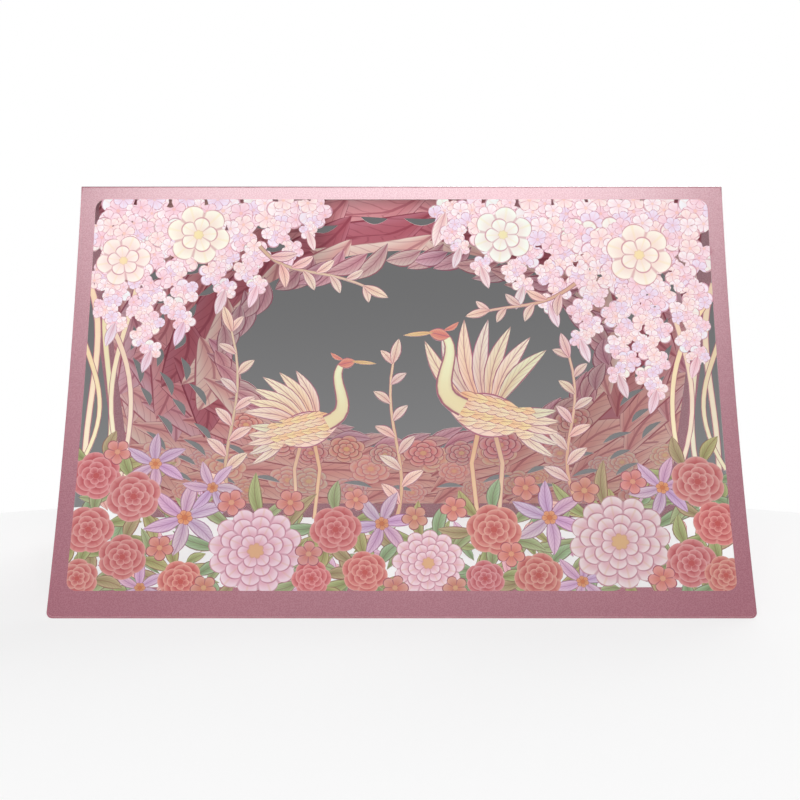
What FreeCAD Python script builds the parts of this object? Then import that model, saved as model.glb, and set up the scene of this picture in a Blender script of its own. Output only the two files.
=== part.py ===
import FreeCAD, Part
import math
import os

import Sketcher

# A tent-folded card of three sheets: a plain cover with a window in each leaf, a cut paper panel on
# the outer face of its front leaf and a second one on the inner face of its back leaf. Z is up, the
# fold runs along X at the top, the front faces -Y and both feet stand on Z = 0. The leaves bow
# inwards: they lean least at the fold and most at the foot.

SIZES = [
    ("leaf_width", 210.0, "width of the card along its fold"),
    ("leaf_length", 148.0, "length of a leaf from the fold to its foot, along the bow"),
    ("fold_lean", 23.0, "lean of a leaf from upright at the fold, degrees"),
    ("foot_lean", 39.0, "lean of a leaf from upright at its foot, degrees"),
    ("cover_thickness", 0.35, "thickness of the cover"),
    ("panel_thickness", 0.25, "thickness of the two cut panels"),
    ("fold_inside", 0.15, "inner radius of the fold"),
    ("foot_corner", 2.0, "radius of the cover's corners at the feet"),
    ("cover_side", 4.7, "cover beside its windows"),
    ("cover_top", 5.0, "cover between its windows and the fold"),
    ("cover_foot", 10.0, "cover below its windows"),
    ("cover_corner", 2.5, "corner radius of the cover's windows"),
    ("panel_side", 5.0, "cover's width beside a panel's window"),
    ("panel_top", 5.4, "distance of a panel's window from the fold"),
    ("panel_foot", 8.7, "distance of a panel's window from the foot"),
    ("panel_corner", 3.2, "corner radius of a panel's window"),
    ("front_inset", 0.4, "front panel's edge inside the cover's at the sides and foot"),
    ("front_fold_gap", 1.25, "front panel's edge below the fold"),
    ("back_inset", 1.2, "back panel's edge inside the cover's at the sides and foot"),
    ("back_fold_gap", 3.0, "back panel's edge below the fold"),
    ("bow_flats", 8, "flats that a panel's bow is made of"),
    ("smallest_cut", 5.0, "area of the smallest cut that a panel keeps, square millimetres"),
]

# The motifs are drawn for a window of this width and height, x from its middle and up from its foot.
DRAWING_WIDTH = 200.0
DRAWING_HEIGHT = 133.4

document = FreeCAD.newDocument("pop_up_card")
sheet = document.addObject("Spreadsheet::Sheet", "sizes")
for row, (alias, value, meaning) in enumerate(SIZES, start=1):
    sheet.set(f"A{row}", meaning)
    sheet.set(f"B{row}", str(value))
    sheet.setAlias(f"B{row}", alias)
document.recompute()


def size(name):
    """Return a driving dimension from the sheet."""
    return float(getattr(sheet, name))


# Expressions for lengths that follow from the driving dimensions.
MEAN_LEAN = "(sizes.fold_lean + sizes.foot_lean) / 2"
HALF_BEND = "(sizes.foot_lean - sizes.fold_lean) / 2"
BOW_RADIUS = "(sizes.leaf_length * 90 / pi / (" + HALF_BEND + "))"
FOOT_REACH = BOW_RADIUS + " * (cos(sizes.fold_lean) - cos(sizes.foot_lean))"
CHORD = "(2 * " + BOW_RADIUS + " * sin(" + HALF_BEND + "))"


class Bow:
    """The arc that both leaves follow, seen from the side, with y up the leaf's chord."""

    def __init__(self):
        self.half_bend = math.radians(0.5 * (size("foot_lean") - size("fold_lean")))
        self.radius = 0.5 * size("leaf_length") / self.half_bend
        self.chord = 2.0 * self.radius * math.sin(self.half_bend)
        self.flats = round(size("bow_flats"))
        self.step = 2.0 * self.half_bend / self.flats

    def line(self, radius, side):
        """Return the corners of the flats at a radius, from below the foot to above the fold."""
        points = []
        for corner in range(-1, self.flats + 2):
            angle = self.half_bend - corner * self.step
            up = self.radius * math.sin(self.half_bend) - radius * math.sin(angle)
            out = self.radius * math.cos(self.half_bend) - radius * math.cos(angle)
            points.append((up, side * out))
        return points


# Outlines of the cut motifs.

def placed(points, x, up, turn=0.0, flip=1.0, scale=1.0):
    """Turn, mirror, scale and move an outline."""
    c = math.cos(turn)
    s = math.sin(turn)
    return [(x + scale * flip * (px * c - py * s), up + scale * (px * s + py * c)) for px, py in points]


def lens(x, up, length, width, turn, bend=0.0, steps=3):
    """Outline of a leaf, feather or slender petal with two curved sides."""
    one = []
    other = []
    for step in range(steps + 1):
        along = step / steps
        middle = bend * length * math.sin(math.pi * along)
        half = 0.5 * width * math.sin(math.pi * along) ** 0.85
        one.append((along * length, middle + half))
        if 0 < step < steps:
            other.append((along * length, middle - half))
    return placed(one + other[::-1], x, up, turn)


def rosette(x, up, radius, lobes, depth, turn=0.0, steps=3):
    """Outline of a round flower head whose edge runs in petal lobes."""
    points = []
    for step in range(lobes * steps):
        swell = abs(math.sin(math.pi * step / steps)) ** 0.7
        reach = radius * (1.0 - depth + depth * swell)
        angle = turn + 2.0 * math.pi * step / (lobes * steps)
        points.append((x + reach * math.cos(angle), up + reach * math.sin(angle)))
    return points


def curve(start, lean_a, lean_b, end, steps=8):
    """Points along a cubic curve."""
    points = []
    for step in range(steps + 1):
        t = step / steps
        shares = ((1 - t) ** 3, 3 * t * (1 - t) ** 2, 3 * t * t * (1 - t), t ** 3)
        points.append(tuple(sum(share * point[i] for share, point in zip(shares, (start, lean_a, lean_b, end)))
                            for i in range(2)))
    return points


def band(line, width, tip_width):
    """Outline of a tapering stem along a line."""
    left = []
    right = []
    last = len(line) - 1
    for i, (x, up) in enumerate(line):
        x0, up0 = line[max(i - 1, 0)]
        x1, up1 = line[min(i + 1, last)]
        run = math.hypot(x1 - x0, up1 - up0)
        half = 0.5 * (width + (tip_width - width) * i / last)
        left.append((x - half * (up1 - up0) / run, up + half * (x1 - x0) / run))
        right.append((x + half * (up1 - up0) / run, up - half * (x1 - x0) / run))
    return left + right[::-1]


def strand(x, top, length, lean, radius, turn):
    """Outlines of a hanging strand of blossoms that grow smaller towards the bud at its tip."""
    shapes = []
    down = 0.0
    side = 1
    while down < length:
        share = down / length
        blossom = radius * (1.0 - 0.5 * share)
        spot = (x + lean * share + side * 0.42 * blossom, top - down)
        shapes.append(rosette(*spot, blossom, 5, 0.34, turn + 1.3 * len(shapes)))
        down += 1.12 * blossom
        side = -side
    shapes.append(lens(*spot, 2.3 * blossom, 0.9 * blossom, -0.5 * math.pi + 0.3 * side))
    return shapes


def twig(start, lean_a, lean_b, end, leaves, leaf_length):
    """Outlines of a thin stem with leaves on both sides and one at its tip."""
    stem_width = 1.5
    shapes = [band(curve(start, lean_a, lean_b, end), stem_width, 0.8)]
    nodes = curve(start, lean_a, lean_b, end, leaves + 1)
    for i in range(1, leaves + 1):
        (x0, up0), (x, up), (x1, up1) = nodes[i - 1:i + 2]
        along = math.atan2(up1 - up0, x1 - x0)
        length = leaf_length * (1.0 - 0.35 * i / leaves)
        side = 1 if i % 2 else -1
        shapes.append(lens(x, up, length, 0.44 * length, along + side * 0.85, side * -0.06))
    (x0, up0), (x, up) = nodes[-2:]
    shapes.append(lens(x0, up0, 0.95 * leaf_length, 0.36 * leaf_length, math.atan2(up - up0, x - x0)))
    return shapes


def star(x, up, radius, turn, petals=6):
    """Outlines of an open flower of slender petals and its heart."""
    shapes = [lens(x, up, radius, 0.36 * radius, turn + 2 * math.pi * i / petals, 0.05) for i in range(petals)]
    return shapes + [rosette(x, up, 0.2 * radius, 6, 0.2, turn, 2)]


def crane(x, up, scale, flip, wing_from, wing_to, feathers, feather_length):
    """Outlines of a standing crane with a raised wing, seen from the side."""
    shapes = [band([(-3.0, 22.0), (-5.5, 10.0), (-4.0, -8.0)], 1.7, 1.4),
              band([(0.5, 22.0), (3.0, 10.0), (1.5, -8.0)], 1.7, 1.4)]
    for i in range(5):
        shapes.append(lens(-8.0, 24.0 + 0.6 * i, 17.0 - i, 3.6, math.radians(226 - 11 * i), 0.08))
    for i in range(feathers):
        share = i / (feathers - 1)
        length = feather_length * (1.0 - 0.3 * abs(share - 0.4))
        angle = math.radians(wing_from + (wing_to - wing_from) * share)
        shapes.append(lens(2.0 - 6.0 * share, 27.0, length, 4.8, angle, -0.07))
    neck = curve((5.0, 27.0), (17.0, 32.0), (4.0, 43.0), (10.5, 49.5))
    shapes.append(lens(-14.0, 22.0, 25.0, 13.5, 0.26, -0.03, 6))
    shapes.append(band(neck, 6.0, 2.4))
    shapes.append(lens(8.6, 48.6, 6.2, 4.0, 0.25, 0.0, 4))
    shapes.append(lens(13.0, 50.0, 8.9, 1.5, -0.1, 0.0, 2))
    shapes.append(lens(10.4, 50.6, 5.2, 1.7, 2.6, 0.1, 2))
    return [placed(shape, x, up, 0.0, flip, scale) for shape in shapes]


def leaf_ring(x, up, radius, turn):
    """Outlines of the leaves that show round a large flower."""
    count = round(2.0 + 0.45 * radius)
    shapes = []
    for i in range(count):
        angle = turn + 2.0 * math.pi * (i + 0.25 * math.sin(5.0 * i + x)) / count
        root = (x + 0.7 * radius * math.cos(angle), up + 0.7 * radius * math.sin(angle))
        shapes.append(lens(*root, 4.0 + 0.85 * radius, 4.3, angle + 0.35 * math.sin(x + i), 0.08))
    return shapes


# Stems at each side, given for the right: start, two leaning points, end and width.
SIDE_STEMS = [((-100.5, 104), (-92, 84), (-101, 60), (-97, 30), 2.4),
              ((-93, 108), (-100, 86), (-86, 66), (-92, 34), 2.2),
              ((-85, 104), (-88, 84), (-98, 66), (-84, 36), 2.0),
              ((-97, 96), (-84, 78), (-82, 60), (-88, 30), 2.0),
              ((-101, 84), (-96, 70), (-90, 60), (-100, 40), 1.8)]
# Hanging strands: x, length, lean and radius of the first blossom.
SPRAYS = [(-95, 40, 2, 7.4), (-84, 50, 3, 7.0), (-73, 42, 2, 7.2), (-62, 30, 4, 7.4), (-51, 26, 3, 7.2),
          (-40.5, 15, 4, 6.8), (-31, 7, 2, 6.0), (12, 6, -2, 5.6), (20.5, 13, -3, 6.4), (30, 20, -3, 6.8),
          (40.5, 27, -3, 7.2), (51, 34, -2, 7.2), (61.5, 45, -3, 7.4), (72, 58, -2, 7.4), (82.5, 66, -4, 7.2),
          (93.5, 50, -1, 7.4)]
SPRAY_TOP = 129.0
# Twigs: start, two leaning points, end, number of leaves and their length.
TWIGS = [((-52, 28), (-60, 50), (-44, 62), (-57, 96), 10, 10.0),
         ((-46, 117), (-36, 104), (-26, 112), (-6, 100), 8, 9.5),
         ((-2, 22), (5, 44), (-9, 56), (-1, 84), 9, 9.5),
         ((53, 30), (46, 52), (61, 58), (51, 86), 9, 9.5),
         ((56, 104), (44, 94), (38, 98), (22, 93), 6, 8.5)]
# Flowers: x, up, radius and turn.
MAGNOLIAS = [(-66, 121, 10.5, 0.3), (33, 121, 10.0, 0.9), (77, 114, 11.0, 0.2), (-90, 112, 9.0, 0.7)]
DAHLIAS = [(-44, 13, 14.5, 0.1), (66, 16, 15.5, 0.4), (8, 9, 11.0, 0.2)]
CAMELLIAS = [(-94, 38, 8.0, 0.2), (-82, 31, 8.5, 0.9), (-95, 20, 8.0, 0.5), (-84, 11, 7.5, 0.1),
             (-97, 4, 6.5, 0.0), (-66, 3, 7.0, 0.4), (-20, 20, 8.0, 0.7), (-11, 6, 7.0, 0.2),
             (28, 20, 8.5, 0.3), (41, 5, 7.5, 0.8), (91, 36, 8.5, 0.0), (96, 22, 7.5, 0.4),
             (87, 9, 8.0, 0.9), (97, 5, 6.5, 0.3), (25, 4, 6.0, 0.1), (-27, 4, 6.0, 0.6)]
STARS = [(-66, 24, 13.0, 0.3), (-6, 22, 11.5, 0.1), (45, 24, 12.5, 0.6), (80, 34, 11.0, 0.2),
         (-76, 42, 10.5, 0.5), (-58, 34, 9.5, 0.9), (54, 3, 10.0, 0.2), (-78, 1, 9.0, 0.5)]
SMALL_FLOWERS = [(-34, 29, 4.6, 0.2), (-52, 29, 4.6, 0.5), (16, 27, 4.4, 0.1), (38, 34, 4.6, 0.4),
                 (56, 33, 4.8, 0.8), (-88, 46, 4.4, 0.3), (71, 36, 4.4, 0.5), (-14, 30, 4.0, 0.7),
                 (4, 24, 4.2, 0.2), (-73, 14, 4.4, 0.4), (-59, 1, 4.2, 0.2), (78, 4, 4.6, 0.1),
                 (-2, 1, 4.2, 0.6), (33, 12, 4.4, 0.3), (-28, 12, 4.4, 0.9), (16, 1, 4.0, 0.1)]


def front_motifs():
    """Outlines of everything that stands in the front panel's window."""
    shapes = []
    for side in (-1, 1):
        for start, lean_a, lean_b, end, width in SIDE_STEMS:
            line = [(-side * x, up) for x, up in curve(start, lean_a, lean_b, end)]
            shapes.append(band(line, width, 0.8 * width))
    for x, length, lean, radius in SPRAYS:
        shapes += strand(x, SPRAY_TOP, length, lean, radius, 0.1 * x)
    shapes += [rosette(*flower[:3], 6, 0.26, flower[3]) for flower in MAGNOLIAS]
    for row in TWIGS:
        shapes += twig(*row)
    shapes += crane(25, 31, 1.12, -1.0, 56, 130, 7, 28.0)
    shapes += crane(-28, 31, 0.92, 1.0, 112, 168, 6, 24.0)
    for flower in DAHLIAS + CAMELLIAS:
        shapes += leaf_ring(*flower)
    for flower in STARS:
        shapes += star(*flower)
    shapes += [rosette(*flower[:3], 12, 0.14, flower[3], 2) for flower in DAHLIAS]
    shapes += [rosette(*flower[:3], 6, 0.12, flower[3]) for flower in CAMELLIAS]
    shapes += [rosette(*flower[:3], 5, 0.36, flower[3]) for flower in SMALL_FLOWERS]
    return shapes


# Oval of the back panel: middle x and up, half width and half height.
OVAL = (4.0, 72.0, 69.0, 43.0)
# Flowers along the foot of the oval: x, up, radius and turn.
OVAL_FLOWERS = [(-44, 33, 8.0, 0.1), (-33, 27, 6.5, 0.5), (-20, 29, 7.0, 0.8), (-6, 26, 6.0, 0.2),
                (8, 27, 7.5, 0.6), (22, 27, 6.5, 0.1), (36, 31, 8.0, 0.4), (50, 35, 6.5, 0.9),
                (-56, 41, 6.5, 0.7), (62, 43, 7.0, 0.3)]


def oval_point(angle, outside=0.0):
    """Point on the oval, or outside it."""
    x, up, wide, tall = OVAL
    return x + (wide + outside) * math.cos(angle), up + (tall + outside) * math.sin(angle)


def oval_direction(angle):
    """Direction of the oval's edge at an angle."""
    return math.atan2(OVAL[3] * math.cos(angle), -OVAL[2] * math.sin(angle))


def wreath_motifs():
    """Outlines of the leaf tips and flowers that edge the oval."""
    shapes = []
    count = 30
    for ring, (outside, length, lean) in enumerate([(3.0, 17.0, 0.75), (0.0, 14.0, 0.35)]):
        for i in range(count):
            angle = 2 * math.pi * (i + 0.5 * ring + 0.2 * math.sin(2.4 * i)) / count
            shapes.append(lens(*oval_point(angle, outside), length + 2.5 * math.sin(1.7 * i), 6.2,
                               oval_direction(angle) + lean, 0.1))
    return shapes + [rosette(*flower[:3], 6, 0.2, flower[3]) for flower in OVAL_FLOWERS]


def ground_slits():
    """Outlines of the slits that run in rings round the oval, clear of the flowers and the border."""
    shapes = []
    for ring in range(6):
        count = 30 + 2 * ring
        for i in range(count):
            angle = 2 * math.pi * (i + 0.5 * ring) / count
            x, up = oval_point(angle, 12.0 + 8.5 * ring)
            length = 10.5 + 1.5 * math.sin(2.1 * i)
            slit = lens(x, up, length, 2.6, oval_direction(angle) + 0.16 * math.sin(1.3 * i), 0.12)
            middle = (0.5 * (slit[0][0] + slit[3][0]), 0.5 * (slit[0][1] + slit[3][1]))
            in_window = all(abs(px) < 96 and 4 < py < 129 for px, py in slit)
            clear = all(math.dist(middle, flower[:2]) > flower[2] + 6.5 for flower in OVAL_FLOWERS)
            if in_window and clear:
                shapes.append(slit)
    return shapes


# Faces and solids of a panel, drawn flat in its own frame: x across, y up the leaf's chord.

def flat_face(outline):
    """Face of a closed outline, wound so that it faces +Z."""
    area = sum(x0 * y1 - x1 * y0 for (x0, y0), (x1, y1) in zip(outline, outline[1:] + outline[:1]))
    ordered = outline if area > 0 else outline[::-1]
    points = [FreeCAD.Vector(x, y, 0.0) for x, y in ordered]
    return Part.Face(Part.makePolygon(points + points[:1]))


def rounded_outline(left, right, foot, top, foot_radius, top_radius, steps=4):
    """Outline of a rectangle with rounded corners, each corner a quarter turn in short steps."""
    corners = [(right - foot_radius, foot + foot_radius, -90, foot_radius),
               (right - top_radius, top - top_radius, 0, top_radius),
               (left + top_radius, top - top_radius, 90, top_radius),
               (left + foot_radius, foot + foot_radius, 180, foot_radius)]
    points = []
    for x, y, start, radius in corners:
        for step in range(steps + 1 if radius else 1):
            angle = math.radians(start + 90 * step / steps)
            points.append((x + radius * math.cos(angle), y + radius * math.sin(angle)))
    return points


def in_window(outline):
    """Scale an outline from the drawing to the panels' window."""
    wide = (size("leaf_width") - 2.0 * size("panel_side")) / DRAWING_WIDTH
    tall = (bow.chord - size("panel_top") - size("panel_foot")) / DRAWING_HEIGHT
    return [(wide * x, size("panel_foot") + tall * up) for x, up in outline]


def window_outline():
    """Outline of the panels' window."""
    half = 0.5 * size("leaf_width") - size("panel_side")
    corner = size("panel_corner")
    return rounded_outline(-half, half, size("panel_foot"), bow.chord - size("panel_top"), corner, corner)


def panel_blank(inset, fold_gap):
    """Face of a panel before anything is cut, with the foot corners rounded like the cover's."""
    half = 0.5 * size("leaf_width") - inset
    return flat_face(rounded_outline(-half, half, inset, bow.chord - fold_gap, size("foot_corner"), 0.0))


def joined(blank, frame, motifs):
    """Join the motifs to the frame in one face, and close the cuts that are too small to make."""
    faces = [flat_face(in_window(outline)) for outline in motifs]
    pieces = frame.multiFuse(faces).common(blank)
    merged = Part.Shell(pieces.Faces).removeSplitter()
    if len(merged.Faces) != 1:
        loose = [face.BoundBox.Center for face in merged.Faces if face.Area < 0.5 * merged.Area]
        raise RuntimeError(f"motifs hang loose at {loose}")
    face = merged.Faces[0]
    cuts = [wire for wire in face.Wires if not wire.isSame(face.OuterWire)]
    kept = [wire for wire in cuts if Part.Face(wire).Area >= size("smallest_cut")]
    return Part.Face([face.OuterWire] + kept)


def front_lace():
    """Face of the front panel."""
    blank = panel_blank(size("front_inset"), size("front_fold_gap"))
    return joined(blank, blank.cut(flat_face(window_outline())), front_motifs())


def back_lace():
    """Face of the back panel: its ground, the oval with its wreath, and the slits."""
    blank = panel_blank(size("back_inset"), size("back_fold_gap"))
    oval = [oval_point(2 * math.pi * i / 48) for i in range(48)]
    ring = joined(blank, blank.cut(flat_face(in_window(oval))), wreath_motifs())
    return ring.cut(Part.makeCompound([flat_face(in_window(slit)) for slit in ground_slits()])).Faces[0]


def bent_section(near_radius, far_radius, side):
    """Face of a panel's thickness seen from the side, along the bow."""
    near = bow.line(near_radius, side)
    far = bow.line(far_radius, side)
    points = [FreeCAD.Vector(0.0, y, z) for y, z in near + far[::-1]]
    return Part.Face(Part.makePolygon(points + points[:1]))


def shape_feature(name, shape):
    """Document object that holds a shape made in code."""
    feature = document.addObject("Part::Feature", name)
    feature.Shape = shape
    return feature


def make_panel(name, lace, section, foot_side, turn):
    """Cut the lace through a bent sheet and lay the result on its leaf."""
    bow_depth = bow.radius * (1.0 - math.cos(bow.half_bend))
    outline = shape_feature(name + "_outline", lace)
    prism = document.addObject("Part::Extrusion", name + "_cut")
    prism.Base = outline
    prism.DirMode = "Custom"
    prism.Dir = FreeCAD.Vector(0, 0, 1)
    prism.Solid = True
    prism.LengthFwd = 2.0 * bow_depth
    prism.LengthRev = 2.0 * bow_depth
    profile = shape_feature(name + "_section", section)
    sheet_of_paper = document.addObject("Part::Extrusion", name + "_sheet")
    sheet_of_paper.Base = profile
    sheet_of_paper.DirMode = "Custom"
    sheet_of_paper.Dir = FreeCAD.Vector(1, 0, 0)
    sheet_of_paper.Solid = True
    sheet_of_paper.Symmetric = True
    sheet_of_paper.setExpression("LengthFwd", "sizes.leaf_width")
    panel = document.addObject("Part::Common", name)
    panel.Base = sheet_of_paper
    panel.Tool = prism
    panel.Label = name
    panel.Placement = FreeCAD.Placement(FreeCAD.Vector(), FreeCAD.Rotation(FreeCAD.Vector(1, 0, 0), 59.0))
    panel.setExpression("Placement.Base.y", foot_side + FOOT_REACH)
    panel.setExpression("Placement.Rotation.Angle", turn)
    return panel


def origin_plane(body, role):
    """Find one of a body's own origin planes."""
    return next(plane for plane in body.Origin.OriginFeatures if plane.Role == role)


def make_cover():
    """The folded card: half of its section drawn from the side, the window cut, then mirrored."""
    body = document.addObject("PartDesign::Body", "cover")
    body.Label = "cover"
    lean = math.radians(size("fold_lean"))
    foot = math.radians(size("foot_lean"))
    thickness = size("cover_thickness")
    inside = size("fold_inside")
    centre_y = -bow.radius * math.cos(lean)
    centre_z = bow.radius * math.sin(foot)

    section = body.newObject("Sketcher::SketchObject", "cover_section")
    section.AttachmentSupport = [(origin_plane(body, "YZ_Plane"), "")]
    section.MapMode = "FlatFace"
    flat = FreeCAD.Vector(0, 0, 1)
    centre = FreeCAD.Vector(centre_y, centre_z, 0)
    fold_z = centre_z - math.sqrt((bow.radius + thickness + inside) ** 2 - centre_y ** 2)
    fold = FreeCAD.Vector(0, fold_z, 0)
    touch = math.atan2(fold_z - centre_z, -centre_y)
    arcs = []
    for radius in (bow.radius, bow.radius + thickness):
        ring = Part.Circle(centre, flat, radius)
        floor = -math.asin(centre_z / radius)
        arcs.append(section.addGeometry(Part.ArcOfCircle(ring, floor, touch)))
    bends = []
    for radius in (inside + thickness, inside):
        ring = Part.Circle(fold, flat, radius)
        bends.append(section.addGeometry(Part.ArcOfCircle(ring, 0.5 * math.pi, touch + math.pi)))
    top = section.addGeometry(Part.LineSegment(fold + FreeCAD.Vector(0, inside, 0),
                                               fold + FreeCAD.Vector(0, inside + thickness, 0)))
    outer_foot = centre_y + math.sqrt(bow.radius ** 2 - centre_z ** 2)
    inner_foot = centre_y + math.sqrt((bow.radius + thickness) ** 2 - centre_z ** 2)
    bottom = section.addGeometry(Part.LineSegment(FreeCAD.Vector(outer_foot, 0, 0),
                                                  FreeCAD.Vector(inner_foot, 0, 0)))
    start, end, middle = 1, 2, 3
    for kind, *references in [
            ("Coincident", arcs[0], middle, arcs[1], middle), ("Coincident", bends[0], middle, bends[1], middle),
            ("PointOnObject", bends[0], middle, -2), ("Coincident", arcs[0], start, bottom, start),
            ("Coincident", arcs[1], start, bottom, end), ("PointOnObject", bottom, start, -1),
            ("PointOnObject", bottom, end, -1), ("Tangent", arcs[0], end, bends[0], end),
            ("Tangent", arcs[1], end, bends[1], end), ("Coincident", bends[0], start, top, end),
            ("Coincident", bends[1], start, top, start), ("PointOnObject", top, start, -2),
            ("PointOnObject", top, end, -2)]:
        section.addConstraint(Sketcher.Constraint(kind, *references))
    for name, kind, references, number, expression in [
            ("centre_out", "DistanceX", (arcs[0], middle, -1, start), -centre_y,
             BOW_RADIUS + " * cos(sizes.fold_lean)"),
            ("centre_up", "DistanceY", (-1, start, arcs[0], middle), centre_z,
             BOW_RADIUS + " * sin(sizes.foot_lean)"),
            ("outer_bow", "Radius", (arcs[0],), bow.radius, BOW_RADIUS),
            ("inner_bow", "Radius", (arcs[1],), bow.radius + thickness, BOW_RADIUS + " + sizes.cover_thickness"),
            ("fold_radius", "Radius", (bends[1],), inside, "sizes.fold_inside")]:
        index = section.addConstraint(Sketcher.Constraint(kind, *references, number))
        section.renameConstraint(index, name)
        section.setExpression("Constraints." + name, expression)

    leaf = body.newObject("PartDesign::Pad", "cover_leaf")
    leaf.Profile = section
    leaf.SideType = "Symmetric"
    leaf.setExpression("Length", "sizes.leaf_width")

    window = chord_sketch(body, "cover_window")
    draw_window(window)
    cut = body.newObject("PartDesign::Pocket", "cover_window_cut")
    cut.Profile = window
    cut.SideType = "Symmetric"
    cut.Type = "ThroughAll"

    corners = chord_sketch(body, "cover_foot_corners")
    draw_foot_corner(corners, -1)
    draw_foot_corner(corners, 1)
    corner_cut = body.newObject("PartDesign::Pocket", "cover_foot_corner_cut")
    corner_cut.Profile = corners
    corner_cut.SideType = "Symmetric"
    corner_cut.Type = "ThroughAll"

    both = body.newObject("PartDesign::Mirrored", "cover_leaves")
    both.BaseFeature = corner_cut
    both.TransformMode = "Whole shape"
    both.MirrorPlane = (origin_plane(body, "XZ_Plane"), [""])
    body.Tip = both
    return body


def chord_sketch(body, name):
    """Sketch on the chord of the front leaf, with its origin at the middle of the foot."""
    sketch = body.newObject("Sketcher::SketchObject", name)
    sketch.AttachmentSupport = [(origin_plane(body, "XZ_Plane"), "")]
    sketch.MapMode = "FlatFace"
    lean = FreeCAD.Rotation(FreeCAD.Vector(1, 0, 0), -31.0)
    sketch.AttachmentOffset = FreeCAD.Placement(FreeCAD.Vector(), lean)
    sketch.setExpression("AttachmentOffset.Base.z", FOOT_REACH)
    sketch.setExpression("AttachmentOffset.Rotation.Angle", "-(" + MEAN_LEAN + ")")
    return sketch


def draw_window(sketch):
    """Rounded window in a leaf, drawn on its chord and bound to the borders round it."""
    half = 0.5 * size("leaf_width") - size("cover_side")
    foot = size("cover_foot")
    top = bow.chord - size("cover_top")
    corner = size("cover_corner")
    flat = FreeCAD.Vector(0, 0, 1)
    sides = [((-half + corner, foot), (half - corner, foot)), ((half, foot + corner), (half, top - corner)),
             ((half - corner, top), (-half + corner, top)), ((-half, top - corner), (-half, foot + corner))]
    lines = [sketch.addGeometry(Part.LineSegment(FreeCAD.Vector(*a, 0), FreeCAD.Vector(*b, 0))) for a, b in sides]
    corners = [(half - corner, foot + corner, -90), (half - corner, top - corner, 0),
               (-half + corner, top - corner, 90), (-half + corner, foot + corner, 180)]
    arcs = []
    for x, y, turn in corners:
        ring = Part.Circle(FreeCAD.Vector(x, y, 0), flat, corner)
        arcs.append(sketch.addGeometry(Part.ArcOfCircle(ring, math.radians(turn), math.radians(turn + 90))))
    start, end = 1, 2
    for i in range(4):
        sketch.addConstraint(Sketcher.Constraint("Tangent", lines[i], end, arcs[i], start))
        sketch.addConstraint(Sketcher.Constraint("Tangent", arcs[i], end, lines[(i + 1) % 4], start))
        if i:
            kind = "Vertical" if i % 2 else "Horizontal"
            sketch.addConstraint(Sketcher.Constraint(kind, lines[i]))
            sketch.addConstraint(Sketcher.Constraint("Equal", arcs[0], arcs[i]))
    sketch.addConstraint(Sketcher.Constraint("Symmetric", lines[0], start, lines[0], end, -2))
    for name, kind, references, number, expression in [
            ("corner", "Radius", (arcs[0],), corner, "sizes.cover_corner"),
            ("width", "DistanceX", (lines[3], start, lines[1], start), 2.0 * half,
             "sizes.leaf_width - 2 * sizes.cover_side"),
            ("foot", "DistanceY", (-1, start, lines[0], start), foot, "sizes.cover_foot"),
            ("top", "DistanceY", (-1, start, lines[2], start), top, CHORD + " - sizes.cover_top")]:
        index = sketch.addConstraint(Sketcher.Constraint(kind, *references, number))
        sketch.renameConstraint(index, name)
        sketch.setExpression("Constraints." + name, expression)


def draw_foot_corner(sketch, side):
    """Outline of what is cut off a foot corner to round it, on the left or the right."""
    corner = size("foot_corner")
    edge = 0.5 * size("leaf_width")
    points = [(edge - corner, 0), (edge - corner, -corner), (edge + corner, -corner),
              (edge + corner, corner), (edge, corner)]
    points = [FreeCAD.Vector(side * x, y, 0) for x, y in points]
    lines = [sketch.addGeometry(Part.LineSegment(a, b)) for a, b in zip(points, points[1:])]
    centre = FreeCAD.Vector(side * (edge - corner), corner, 0)
    ring = Part.Circle(centre, FreeCAD.Vector(0, 0, 1), corner)
    turn = -90 if side > 0 else 180
    arc = sketch.addGeometry(Part.ArcOfCircle(ring, math.radians(turn), math.radians(turn + 90)))
    start, end, middle = 1, 2, 3
    at_foot, at_side = (start, end) if side > 0 else (end, start)
    origin = (-1, start)
    for kind, *references in [
            ("Coincident", arc, at_foot, lines[0], start), ("Coincident", lines[0], end, lines[1], start),
            ("Coincident", lines[1], end, lines[2], start), ("Coincident", lines[2], end, lines[3], start),
            ("Coincident", lines[3], end, arc, at_side), ("Vertical", lines[0]), ("Horizontal", lines[1]),
            ("Vertical", lines[2]), ("Horizontal", lines[3]), ("Vertical", arc, middle, arc, at_foot),
            ("Horizontal", arc, middle, arc, at_side), ("PointOnObject", arc, at_foot, -1)]:
        sketch.addConstraint(Sketcher.Constraint(kind, *references))
    word = "right" if side > 0 else "left"
    across = [(*origin, arc, middle), (*origin, lines[2], start)]
    if side < 0:
        across = [pair[2:] + pair[:2] for pair in across]
    for name, kind, references, number, expression in [
            ("radius", "Radius", (arc,), corner, "sizes.foot_corner"),
            ("centre", "DistanceX", across[0], edge - corner, "sizes.leaf_width / 2 - sizes.foot_corner"),
            ("outside", "DistanceX", across[1], edge + corner, "sizes.leaf_width / 2 + sizes.foot_corner"),
            ("below", "DistanceY", (lines[1], start, *origin), corner, "sizes.foot_corner")]:
        index = sketch.addConstraint(Sketcher.Constraint(kind, *references, number))
        sketch.renameConstraint(index, word + "_" + name)
        sketch.setExpression("Constraints." + word + "_" + name, expression)


bow = Bow()
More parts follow.
